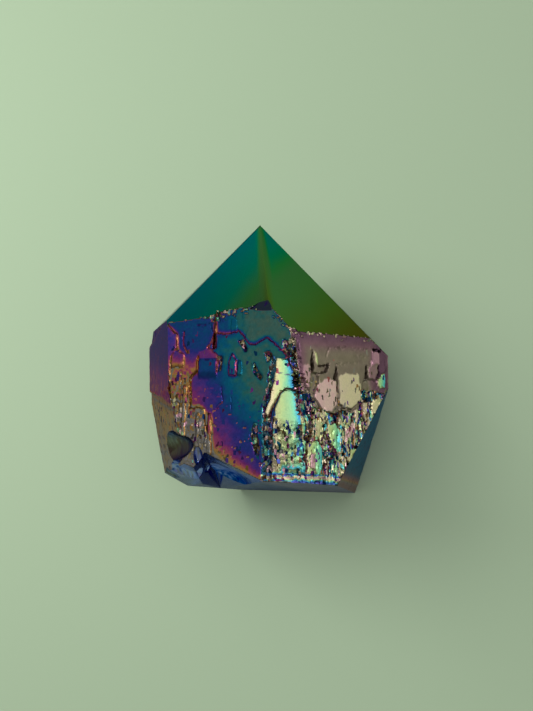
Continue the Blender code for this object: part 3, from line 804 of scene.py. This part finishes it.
def grownPrism():
    points, fields = grownSides()
    rows, columns = points.shape[:2]
    bm = bmesh.new()
    bmesh.ops.create_grid(bm, x_segments=columns, y_segments=rows - 1, size=1.0)
    mesh = bpy.data.meshes.new("grown_prism")
    bm.to_mesh(mesh)
    flat = readOut(mesh.vertices, "co", each=3)
    column = np.rint((flat[:, 0] + 1) / 2 * columns).astype(int) % columns
    row = np.rint((flat[:, 1] + 1) / 2 * (rows - 1)).astype(int)
    mesh.vertices.foreach_set("co", (points[row, column] * mm).astype(np.float32).ravel())
    writePoints(mesh, fields[row, column])
    bm.clear()
    bm.from_mesh(mesh)
    bmesh.ops.remove_doubles(bm, verts=bm.verts[:], dist=1e-7)  # the seam
    middle = sum(crystal["rows"][:2]) / 2 * mm
    rims = [edge for edge in bm.edges if edge.is_boundary and edge.verts[0].co.y > middle]
    grown = bmesh.ops.extrude_edge_only(bm, edges=rims)["geom"]
    for vert in grown:
        if isinstance(vert, bmesh.types.BMVert):
            vert.co.y = crystal["top"] * mm
    bmesh.ops.holes_fill(bm, edges=[edge for edge in bm.edges if edge.is_boundary], sides=0)
    bmesh.ops.recalc_face_normals(bm, faces=bm.faces[:])
    loose = sum(1 for edge in bm.edges if not edge.is_manifold)
    bm.to_mesh(mesh)
    bm.free()
    print("grown prism", len(mesh.polygons), "faces,", loose, "open edges")
    return mesh


# what cuts it: polished facets, tapers, break, foot, and the scoops of the broken corner
slots = {"grown": 0, "polished": 1, "fracture": 2, "sawn": 3, "taper": 4}
breakage = {
    "deeper": (-60.0, -63.0, 3.0),  # the right part of the break lies deeper
    "step": (96.6, -35.3, -9.8),  # the step between the two parts
    "scoops": [  # flat it is struck from, middle of its mouth, half sizes across, up and out, how far out
        ((-43.0, -8.0), (-17.0, 6.6, 14.6), (13.4, 4.0, 5.2), 2.2),
        ((-60.0, -63.0), (-3.0, 1.6, 12.5), (9.5, 5.5, 2.4), 1.5),
        ((-50.0, -55.0), (-14.4, 1.3, 12.0), (7.2, 4.6, 3.6), 1.5),
        ((-54.0, -50.0), (-9.0, 0.7, 15.0), (4.4, 3.0, 2.6), 1.1),
        ((-20.0, -30.0), (-6.9, 4.6, 23.4), (1.0, 2.6, 1.2), 0.5),
        ((-60.0, -60.0), (-21.0, 1.5, 2.0), (4.0, 4.0, 1.6), 1.0),
    ],
    "largeScoops": 4,  # the first ones, made from finer balls
    "struck": (-0.9, 0.5, -0.4),  # where the blow fell, on the ball
    "ripple": 0.014,  # height of the shell-like ripples, as a share of the scoop
    "ripplePitch": 0.34,
    "notchFloor": (0.0, 22.0, 35.1),
    "notch": [(3.0, 38.5), (7.2, 42.6), (7.8, 38.0)],
}


def trimmed(bm, point, out, finish=0):  # cuts away what lies beyond a plane and closes the cut
    everything = bm.verts[:] + bm.edges[:] + bm.faces[:]
    bmesh.ops.bisect_plane(bm, geom=everything, plane_co=point, plane_no=out, clear_outer=True)
    for face in bmesh.ops.holes_fill(bm, edges=bm.edges[:], sides=0)["faces"]:
        face.material_index = finish


def meshOf(bm, name, fields):  # in metres, with one film all over
    bmesh.ops.scale(bm, vec=(mm, mm, mm), verts=bm.verts[:])
    mesh = bpy.data.meshes.new(name)
    bm.to_mesh(mesh)
    bm.free()
    writePoints(mesh, np.tile(fields, (len(mesh.vertices), 1)))
    return mesh


def cutterOf(bm, name, finish, fields):  # a cutter that leaves one finish
    for face in bm.faces:
        face.material_index = slots[finish]
    return meshOf(bm, name, fields)


def endBlock():  # a large block with everything outside the flats cut away
    bm = bmesh.new()
    bmesh.ops.create_cube(bm, size=200.0)
    for facet in crystal["facets"].values():
        trimmed(bm, Vector(crystal["tip"]), direction(*facet), slots["polished"])
    for name, finish in (("rightTaper", "taper"), ("break", "fracture"), ("foot", "sawn")):
        turn, lean, reach = crystal[name]
        trimmed(bm, direction(turn, lean) * reach, direction(turn, lean), slots[finish])
    bmesh.ops.recalc_face_normals(bm, faces=bm.faces[:])
    polished = [edge for edge in bm.edges if len(edge.link_faces) == 2
                and all(face.material_index == slots["polished"] for face in edge.link_faces)]
    bmesh.ops.bevel(bm, geom=polished, offset=crystal["facetBevel"], segments=2, profile=0.5,
                    affect="EDGES", material=-1)
    turn, lean, reach = crystal["rightTaper"]
    across, up = direction(turn + 90), direction(turn, lean).cross(direction(turn + 90))
    first, last, offset = crystal["taperCuts"]
    for way in (across, up):  # small faces on the taper, for its film
        for place in range(first, last):
            taper = [face for face in bm.faces if face.material_index == slots["taper"]]
            part = {edge for face in taper for edge in face.edges}
            part |= {vert for face in taper for vert in face.verts}
            bmesh.ops.bisect_plane(bm, geom=taper + list(part), plane_co=way * (place + offset), plane_no=way)
    return meshOf(bm, "end_block", [0.8, 0.0, 0.9, 0.0])


def scoopAxes(flat, point, sizes, outBy):  # middle of the scoop's ball, and its three half axes
    _, across, up, out = faceAxes(*flat, 0.0)
    return Vector(point) + out * outBy, [axis * size for axis, size in zip((across, up, out), sizes)]


def scoopBalls():
    meshes = []
    for place, scoop in enumerate(breakage["scoops"]):
        centre, halves = scoopAxes(*scoop)
        bm = bmesh.new()
        fine = 6 if place < breakage["largeScoops"] else 5
        bmesh.ops.create_icosphere(bm, subdivisions=fine, radius=1.0)
        for vert in bm.verts:
            away = (vert.co - Vector(breakage["struck"])).length
            side = math.sin(vert.co.x * 7.7 + place) * math.sin(vert.co.y * 5.3 + 2 * place)
            wave = math.sin(away * 2 * math.pi / breakage["ripplePitch"] + 1.5 * side)
            vert.co *= 1 + breakage["ripple"] * (wave * 0.6 + side * 1.4)
        turned = Matrix(halves).transposed()
        bmesh.ops.transform(bm, matrix=Matrix.Translation(centre) @ turned.to_4x4(), verts=bm.verts[:])
        meshes.append(cutterOf(bm, f"scoop_{place}", "fracture", [0.5, 0.0, 0.9, 0.0]))
    return meshes


def deeperBlock():  # the right part of the break
    bm = bmesh.new()
    bmesh.ops.create_cube(bm, size=120.0)
    for turn, lean, reach in (breakage["deeper"], breakage["step"]):
        trimmed(bm, direction(turn, lean) * reach, -direction(turn, lean))
    bmesh.ops.recalc_face_normals(bm, faces=bm.faces[:])
    return cutterOf(bm, "deeper_break", "fracture", [0.5, 0.0, 0.9, 0.0])


def notchBlock():  # the small notch at the foot of the ridge between the two upper facets
    start, across, up, out = faceAxes(*breakage["notchFloor"])
    bm = bmesh.new()
    corners = [bm.verts.new(start + across * u + up * v) for u, v in breakage["notch"]]
    face = bm.faces.new(corners)
    raised = bmesh.ops.extrude_face_region(bm, geom=[face])["geom"]
    bmesh.ops.translate(bm, vec=out * 4.0, verts=[v for v in raised if isinstance(v, bmesh.types.BMVert)])
    bmesh.ops.recalc_face_normals(bm, faces=bm.faces[:])
    return cutterOf(bm, "notch", "taper", [0.9, 0.0, 0.35, 0.0])


def addObject(name, mesh):
    obj = bpy.data.objects.new(name, mesh)
    bpy.context.scene.collection.objects.link(obj)
    return obj


def cutWith(piece, mesh, operation):
    cutter = addObject(mesh.name, mesh)
    change = piece.modifiers.new(mesh.name, "BOOLEAN")
    change.operation, change.solver, change.object = operation, "MANIFOLD", cutter
    bpy.context.view_layer.update()
    done = bpy.data.meshes.new_from_object(piece.evaluated_get(bpy.context.evaluated_depsgraph_get()))
    piece.modifiers.clear()
    piece.data = done
    bpy.data.objects.remove(cutter)


# materials

def feed(node, settings):  # sets a node up; a socket, or a node by its first output, feeds an input
    for key, value in settings.items():
        value = getattr(value, "outputs", [value])[0]
        if isinstance(value, bpy.types.NodeSocket):
            node.id_data.links.new(value, node.inputs[key])
        elif isinstance(key, str) and hasattr(node, key):
            setattr(node, key, value)
        else:
            node.inputs[key].default_value = value
    return node


def addNode(tree, kind, settings):
    return feed(tree.nodes.new(kind), settings)


def rampOf(node, stops):
    ramp = node.color_ramp
    while len(ramp.elements) > 1:
        ramp.elements.remove(ramp.elements[-1])
    for place, (position, code) in enumerate(stops):
        element = ramp.elements[0] if place == 0 else ramp.elements.new(position)
        element.position, element.color = position, hexColour(code)
    return node.outputs["Color"]


def newMaterial(name):
    material = bpy.data.materials.new(name)
    material.use_nodes = True
    tree = material.node_tree
    return material, tree, tree.nodes["Principled BSDF"]


# titanium film on grown quartz: a metal-bright coat whose colour follows its thickness, so it runs
# from gold through purple and blue to teal, with a satin sheen from the fine growth steps
grownFilm = {
    "natural": [(0.00, "5d4a38"), (0.20, "857a5c"), (0.33, "8d8a8c"), (0.40, "9c8650"), (0.45, "bc8648"),
                (0.50, "b45868"), (0.56, "88387a"), (0.62, "5a3a8c"), (0.68, "34388c"), (0.75, "1c4a84"),
                (0.82, "106484"), (0.88, "2a7070"), (0.95, "4f7064"), (1.00, "6a8068")],
    "etched": [(0.00, "b884a8"), (0.15, "e0a8b8"), (0.30, "e6cdb8"), (0.45, "e8dcaa"), (0.58, "cfe6a0"),
               (0.70, "8fdcb0"), (0.80, "58c4d8"), (0.90, "4a78d0"), (1.00, "7a50c0")],
    "grain": 0.35,  # mm; real growth steps are finer, and wouldn't show in the render
    "fleckSize": 0.55, "fleckTall": 0.6, "crackPitch": 0.85,  # mm, and how flat the flecks' cells are read
    "crack": (0.03, 0.09, 0.8),  # where a crack ends, where the film is whole again, how dark it is
    "roughness": (0.24, 0.34),  # natural, etched
    "edgeTint": "a092b2",  # seen along the surface the film stays dark instead of turning white
}


def grownFilmMaterial():
    material, tree, shader = newMaterial("titanium_film_on_grown_quartz")
    place = addNode(tree, "ShaderNodeTexCoord", {}).outputs["Object"]
    fields = {name: addNode(tree, "ShaderNodeAttribute", {"attribute_name": name}).outputs["Fac"]
              for name in fieldNames}
    grain = addNode(tree, "ShaderNodeTexNoise", {"Scale": 1 / (grownFilm["grain"] * mm), "Detail": 3.0,
            "Vector": place})
    drift = addNode(tree, "ShaderNodeMath", {"operation": "MULTIPLY_ADD", 0: grain, 1: 0.05, 2: -0.025})
    film = addNode(tree, "ShaderNodeMath", {"operation": "ADD", 0: fields["film"], 1: drift})
    # flecks: etched cells with a film thickness of their own, between thin dark cracks
    tall = addNode(tree, "ShaderNodeMapping", {"Scale": (1.0, grownFilm["fleckTall"], 1.0), "Vector": place})
    cells = addNode(tree, "ShaderNodeTexVoronoi", {"distance": "CHEBYCHEV",
            "Scale": 1 / (grownFilm["fleckSize"] * mm), "Vector": tall})
    own = addNode(tree, "ShaderNodeSeparateColor", {"Color": cells.outputs["Color"]}).outputs
    inFleck = addNode(tree, "ShaderNodeMath", {"operation": "LESS_THAN", 0: own[0], 1: fields["fleck"]})
    paleLimit = addNode(tree, "ShaderNodeMapRange", {"From Min": 0.12, "From Max": 0.45, "To Min": 1.0,
            "To Max": 0.5, "Value": fields["fleck"]})
    fleckPale = addNode(tree, "ShaderNodeMath", {"operation": "GREATER_THAN", 0: own[2], 1: paleLimit})
    pull = addNode(tree, "ShaderNodeMapRange", {"From Min": 0.04, "From Max": 0.50, "To Min": 0.35,
            "To Max": 1.0, "Value": fields["fleck"]})
    strength = addNode(tree, "ShaderNodeMath", {"operation": "MULTIPLY", 0: pull, 1: inFleck})
    fleckTone = addNode(tree, "ShaderNodeMapRange", {"To Min": 0.25, "To Max": 1.15, "Value": own[2]})
    film, pale, tone = (
        addNode(tree, "ShaderNodeMix", {0: share, 2: whole, 3: fleck})
        for share, whole, fleck in ((strength, film, own[1]),
                                    (inFleck, fields["pale"], fleckPale),
                                    (inFleck, fields["tone"], fleckTone)))
    edge = addNode(tree, "ShaderNodeTexVoronoi", {"feature": "DISTANCE_TO_EDGE",
            "Scale": 1 / (grownFilm["crackPitch"] * mm), "Vector": place})
    thin, whole, depth = grownFilm["crack"]
    crack = addNode(tree, "ShaderNodeMapRange", {"From Min": thin, "From Max": whole, "To Min": depth,
            "To Max": 0.0, "Value": edge})
    cracked = addNode(tree, "ShaderNodeMath", {"operation": "MULTIPLY", 0: crack, 1: fields["fleck"]})
    lit = addNode(tree, "ShaderNodeMath", {"operation": "SUBTRACT", 0: 1.0, 1: cracked})
    bright = addNode(tree, "ShaderNodeMath", {"operation": "MULTIPLY", 0: tone, 1: lit})
    natural, etched = (rampOf(addNode(tree, "ShaderNodeValToRGB", {"Fac": film}), grownFilm[kind])
                       for kind in ("natural", "etched"))
    colour = addNode(tree, "ShaderNodeMix", {"data_type": "RGBA", 0: pale, 6: natural, 7: etched})
    shade = addNode(tree, "ShaderNodeMix", {"data_type": "RGBA", "blend_type": "MULTIPLY", 0: 1.0,
            6: colour.outputs[2], 7: bright})
    low, high = grownFilm["roughness"]
    rough = addNode(tree, "ShaderNodeMapRange", {"To Min": low, "To Max": high, "Value": fields["pale"]})
    roughness = addNode(tree, "ShaderNodeMath", {"operation": "MULTIPLY_ADD", 0: grain, 1: 0.12, 2: rough})
    bump = addNode(tree, "ShaderNodeBump", {"Strength": 0.25, "Distance": 0.04 * mm, "Height": grain})
    feed(shader, {"Metallic": 1.0, "Specular Tint": hexColour(grownFilm["edgeTint"]),
            "Base Color": shade.outputs[2], "Roughness": roughness, "Normal": bump})
    return material


# titanium film on cut and polished quartz: mirror-smooth, one even thick film, so teal that
# turns green and then olive towards the edges
polishedFilm = {
    "stops": [(0.00, "0a74a4"), (0.12, "0a80a8"), (0.28, "0c8898"), (0.38, "189488"), (0.47, "4a9458"),
              (0.52, "5c8e5a"), (0.62, "608e54"), (0.76, "6a8440"), (0.86, "707036"), (1.00, "786034")],
    "roughness": 0.14,
    "edgeTint": "84949c",
    "start": 0.46,
    "towards": (19.0, -7.0, 0.0),  # film order gained per metre along x and y
    "cloud": (60.0, 0.10),  # lumps per metre, order gained in them
    "ridgeGain": 0.21,  # film order gained along the ridge, within so many mm
    "ridgeWidth": 1.5,
}


def polishedFilmMaterial():
    material, tree, shader = newMaterial("titanium_film_on_polished_quartz")
    place = addNode(tree, "ShaderNodeTexCoord", {}).outputs["Object"]
    along = addNode(tree, "ShaderNodeVectorMath", {"operation": "DOT_PRODUCT", 0: place,
            1: polishedFilm["towards"]})
    scale, gain = polishedFilm["cloud"]
    cloud = addNode(tree, "ShaderNodeTexNoise", {"Scale": scale, "Detail": 2.0, "Vector": place})
    film = addNode(tree, "ShaderNodeMath", {"operation": "MULTIPLY_ADD", 0: cloud, 1: gain,
            2: polishedFilm["start"]})
    total = addNode(tree, "ShaderNodeMath", {"operation": "ADD", 0: film, 1: along.outputs["Value"]})
    depths = []  # mm below the two upper facets, for the thicker film along their ridge
    for name in ("front", "right"):
        out = direction(*crystal["facets"][name])
        below = addNode(tree, "ShaderNodeVectorMath", {"operation": "DOT_PRODUCT", 0: place, 1: -out / mm})
        depths.append(addNode(tree, "ShaderNodeMath", {"operation": "ADD", 0: below.outputs["Value"],
                1: out.dot(tipPlace) / mm}))
    deeper = addNode(tree, "ShaderNodeMath", {"operation": "MAXIMUM", 0: depths[0], 1: depths[1]})
    ridge = addNode(tree, "ShaderNodeMapRange", {"interpolation_type": "SMOOTHSTEP", "From Min": 0.0,
            "From Max": polishedFilm["ridgeWidth"], "To Min": polishedFilm["ridgeGain"], "To Max": 0.0,
            "Value": deeper})
    order = addNode(tree, "ShaderNodeMath", {"operation": "ADD", 0: total, 1: ridge})
    ramp = addNode(tree, "ShaderNodeValToRGB", {"Fac": order})
    feed(shader, {"Metallic": 1.0, "Roughness": polishedFilm["roughness"],
            "Specular Tint": hexColour(polishedFilm["edgeTint"]),
            "Base Color": rampOf(ramp, polishedFilm["stops"])})
    return material


# titanium film on fractured quartz: glassy shell-shaped scoops, silver and lavender to deep blue
fractureFilm = {
    "stops": [(0.00, "604a44"), (0.16, "686050"), (0.30, "808478"), (0.45, "98a4b8"), (0.62, "98a8ec"),
              (0.76, "2858a4"), (0.86, "10408c"), (0.93, "201068"), (1.00, "4a1c2c")],
    "roughness": 0.16,
    "edgeTint": "8894c4",
    "streaks": (1100.0, 0.25, 0.7, 0.46),  # per metre, stretched by, turned by, film order across them
    "levels": ([-14, -2, 3, 9, 16, 22], [0.02, 0.10, 0.52, 0.60, 0.66, 0.56]),  # mm up from the axis, order
    "deeper": ([-1.5, 0.3, 1.6, 3.2, 4.6], [0.88, 0.80, 0.70, 0.46, 0.30]),  # mm along the crystal, order
    "step": ([-8, 6], [1.0, 0.94]),
    "bowl": ([3.4, 5.0, 7.5, 9.5], [0.10, 0.02, 0.14, 0.28]),
    "bowlRim": (-0.30, 0.48),  # height in the ball where the rim starts, order
}


def fractureFilmMaterial():
    material, tree, shader = newMaterial("titanium_film_on_fractured_quartz")
    place = addNode(tree, "ShaderNodeTexCoord", {}).outputs["Object"]
    film = addNode(tree, "ShaderNodeAttribute", {"attribute_name": "film"}).outputs["Fac"]
    scale, stretch, turn, gain = fractureFilm["streaks"]
    turned = addNode(tree, "ShaderNodeMapping", {"Rotation": (0.0, 0.0, turn), "Scale": (1.0, stretch, 1.0),
            "Vector": place})
    streak = addNode(tree, "ShaderNodeTexNoise", {"Scale": scale, "Detail": 4.0, "Vector": turned})
    lower = addNode(tree, "ShaderNodeMath", {"operation": "SUBTRACT", 0: film, 1: gain / 2})
    total = addNode(tree, "ShaderNodeMath", {"operation": "MULTIPLY_ADD", 0: streak, 1: gain, 2: lower})
    ramp = addNode(tree, "ShaderNodeValToRGB", {"Fac": total})
    bump = addNode(tree, "ShaderNodeBump", {"Strength": 0.6, "Distance": 0.12 * mm, "Height": streak})
    feed(shader, {"Metallic": 1.0, "Roughness": fractureFilm["roughness"],
            "Specular Tint": hexColour(fractureFilm["edgeTint"]),
            "Base Color": rampOf(ramp, fractureFilm["stops"]), "Normal": bump})
    return material


# the sawn foot: coated too, but the saw left it dull, so it reads as a grey purple band that
# turns deep blue beside the break
sawnFilm = {
    "stops": [(0.30, "46406a"), (0.60, "68648a"), (0.80, "564c7c")],
    "deep": [(0.30, "101848"), (0.55, "1c3c80"), (0.80, "14285c")],
    "turnsBlue": (7.5, 4.5),  # mm along x, where the change starts and ends
    "metallic": 0.9, "roughness": 0.5,
}


def sawnFilmMaterial():
    material, tree, shader = newMaterial("titanium_film_on_sawn_quartz")
    place = addNode(tree, "ShaderNodeTexCoord", {}).outputs["Object"]
    noise = addNode(tree, "ShaderNodeTexNoise", {"Scale": 400.0, "Detail": 4.0, "Vector": place})
    grey, deep = (rampOf(addNode(tree, "ShaderNodeValToRGB", {"Fac": noise}), sawnFilm[kind])
                  for kind in ("stops", "deep"))
    axis = addNode(tree, "ShaderNodeSeparateXYZ", {"Vector": place})
    start, end = sawnFilm["turnsBlue"]
    blue = addNode(tree, "ShaderNodeMapRange", {"From Min": start * mm, "From Max": end * mm,
            "Value": axis.outputs["X"]})
    film = addNode(tree, "ShaderNodeMix", {"data_type": "RGBA", 0: blue, 6: grey, 7: deep})
    bump = addNode(tree, "ShaderNodeBump", {"Strength": 0.4, "Distance": 0.08 * mm, "Height": noise})
    feed(shader, {"Metallic": sawnFilm["metallic"], "Roughness": sawnFilm["roughness"],
            "Base Color": film.outputs[2], "Normal": bump})
    return material


# the crystal as one piece

def fractureOrder(points):  # film order on the broken corner, from the part of it that a point lies in
    x, y, z = points.T
    grid = np.random.RandomState(57).rand(64, 64)
    patch = grid[np.floor(x * 1.6).astype(int) % 64, np.floor(z * 1.1).astype(int) % 64] - 0.5
    order = np.interp(z, *fractureFilm["levels"]) + 0.26 * patch
    turn, lean, reach = breakage["step"]
    beyond = points @ np.array(direction(turn, lean)) - reach
    order = np.where(np.abs(beyond) < 0.15, np.interp(z, *fractureFilm["step"]), order)
    deep = np.interp(y + 0.25 * (x + 4), *fractureFilm["deeper"]) + 0.06 * patch
    order = np.where(beyond > 0.15, deep, order)
    centre, halves = scoopAxes(*breakage["scoops"][0])
    local = (points - np.array(centre)) @ np.array([axis / axis.length_squared for axis in halves]).T
    fromBall = np.abs(np.linalg.norm(local, axis=1) - 1)
    rim, rimOrder = fractureFilm["bowlRim"]
    bowl = np.where(local[:, 2] > rim, rimOrder, np.interp(y, *fractureFilm["bowl"]))
    return np.where(fromBall < 0.04, bowl, order)


def taperOrder(points):  # dark teal, with the rainbow of thin film at its foot
    levels = [0, 0.8, 1.6, 2.6, 4.0, 24, 30, 36]
    return np.interp(points[:, 1], levels, [0.2, 0.44, 0.55, 0.70, 0.78, 0.84, 0.86, 0.97])


def filmPerCorner(mesh):  # each finish its own film right up to its edge, where a point has only one
    corners = readOut(mesh.loops, "vertex_index", np.int32)
    points = readOut(mesh.vertices, "co", each=3) / mm
    finish = np.repeat(readOut(mesh.polygons, "material_index", np.int32),
                       readOut(mesh.polygons, "loop_total", np.int32))
    taper = finish == slots["taper"]
    inNotch = points[corners[taper]][:, 1] > 30  # the notch lies in its own shade
    taperLook = {"pale": 0.3, "tone": np.where(inNotch, 0.45, 1.35), "fleck": 0.08}
    for name in fieldNames:
        values = readOut(mesh.attributes[name].data, "value")[corners]
        if name == "film":
            for cut, order in (("fracture", fractureOrder), ("taper", taperOrder)):
                there = finish == slots[cut]
                values[there] = order(points[corners[there]])
        else:
            values[taper] = taperLook[name]
        mesh.attributes.remove(mesh.attributes[name])
        mesh.attributes.new(name, "FLOAT", "CORNER").data.foreach_set("value", values)


def coatedCrystal():
    piece = addObject("coated_crystal", grownPrism())
    materials = [grownFilmMaterial(), polishedFilmMaterial(), fractureFilmMaterial(), sawnFilmMaterial()]
    materials.append(materials[0])  # the taper is grown too
    for material in materials:
        piece.data.materials.append(material)
    others = [(endBlock(), "INTERSECT"), (deeperBlock(), "DIFFERENCE"), (notchBlock(), "DIFFERENCE")]
    others += [(mesh, "DIFFERENCE") for mesh in scoopBalls()]
    for mesh, operation in others:
        for material in materials:
            mesh.materials.append(material)
        cutWith(piece, mesh, operation)
        print("cut", mesh.name, len(piece.data.polygons), "faces")
    mesh = piece.data
    mesh.name = "coated_crystal"
    filmPerCorner(mesh)
    mesh.transform(Matrix.Translation(shift))
    mesh.shade_smooth()
    mesh.set_sharp_from_angle(angle=math.radians(crystal["sharpAngle"]))
    flatFinishes = (slots["polished"], slots["sawn"], slots["taper"])
    for face in mesh.polygons:
        if face.material_index in flatFinishes:
            face.use_smooth = False
    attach(piece, "root")
    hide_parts("crystal")
    print("crystal", len(mesh.polygons), "faces, shift", [round(c, 5) for c in shift])


coatedCrystal()

# table, light and camera
studio = {
    "floor": "a2b698",
    "sky": "c8ccc8", "skyStrength": 0.42,
    "key": ((-0.205, 0.093, 0.245), 0.18, 0.66),  # place in m, size in m, power in W
    "fill": ((0.05, 0.10, 0.95), 1.3, 6.0),
    "front": ((-0.24, 0.16, 0.88), 0.50, 0.27),
    "strip": ((0.19, 0.045, 0.60), 0.13, 0.32),
    "right": ((0.50, 0.14, 0.10), 0.30, 0.75),
    "aim": (0, 0, 0.02),
}


def areaLight(name, place, size, power):
    light = bpy.data.lights.new(name, "AREA")
    light.size, light.energy = size, power
    obj = addObject(name, light)
    obj.location = place
    obj.rotation_euler = (Vector(studio["aim"]) - Vector(place)).to_track_quat("-Z", "Y").to_euler()
    return obj


def paleFloor():
    bm = bmesh.new()
    bmesh.ops.create_grid(bm, x_segments=1, y_segments=1, size=2.0)
    mesh = bpy.data.meshes.new("floor")
    bm.to_mesh(mesh)
    bm.free()
    floor = addObject("floor", mesh)
    material, _, shader = newMaterial("pale_paper")
    feed(shader, {"Base Color": hexColour(studio["floor"]), "Roughness": 0.8})
    mesh.materials.append(material)


camera = {  # leaned over the crystal's foot and right side; lengths in mm from the crystal's own axis
    "back": (0.265, -0.153, 0.952), "roll": -2.02, "distance": 241.64, "aim": (0.0, 30.0, 0.0),
    "lens": 52.25, "shiftX": 0.0030, "shiftY": -0.0032,
}


def photoCamera():
    back = Vector(camera["back"]).normalized()
    up = (Vector((0, 1, 0)) - back * back.y).normalized()
    right = up.cross(back)
    roll = math.radians(camera["roll"])
    up, right = up * math.cos(roll) + right * math.sin(roll), right * math.cos(roll) - up * math.sin(roll)
    data = bpy.data.cameras.new("camera")
    data.lens, data.sensor_width, data.sensor_fit = camera["lens"], 36.0, "AUTO"
    data.shift_x, data.shift_y = camera["shiftX"], camera["shiftY"]
    data.clip_start = 0.005
    obj = addObject("camera", data)
    place = (Vector(camera["aim"]) + back * camera["distance"]) * mm + shift
    obj.matrix_world = Matrix.Translation(place) @ Matrix((right, up, back)).transposed().to_4x4()
    bpy.context.scene.camera = obj


def softStudio():
    world = bpy.data.worlds.new("soft_sky")
    world.use_nodes = True
    feed(world.node_tree.nodes["Background"],
         {"Color": hexColour(studio["sky"]), "Strength": studio["skyStrength"]})
    bpy.context.scene.world = world
    areaLight("window", *studio["key"]).visible_glossy = False
    areaLight("ceiling", *studio["fill"]).visible_glossy = False
    for card in ("front", "right"):
        areaLight(card + "_card", *studio[card]).visible_diffuse = False
    areaLight("strip_light", *studio["strip"]).visible_diffuse = False
    bpy.context.scene.view_settings.view_transform = "Standard"


paleFloor()
photoCamera()
softStudio()
bpy.context.view_layer.update()
print("scene ready")
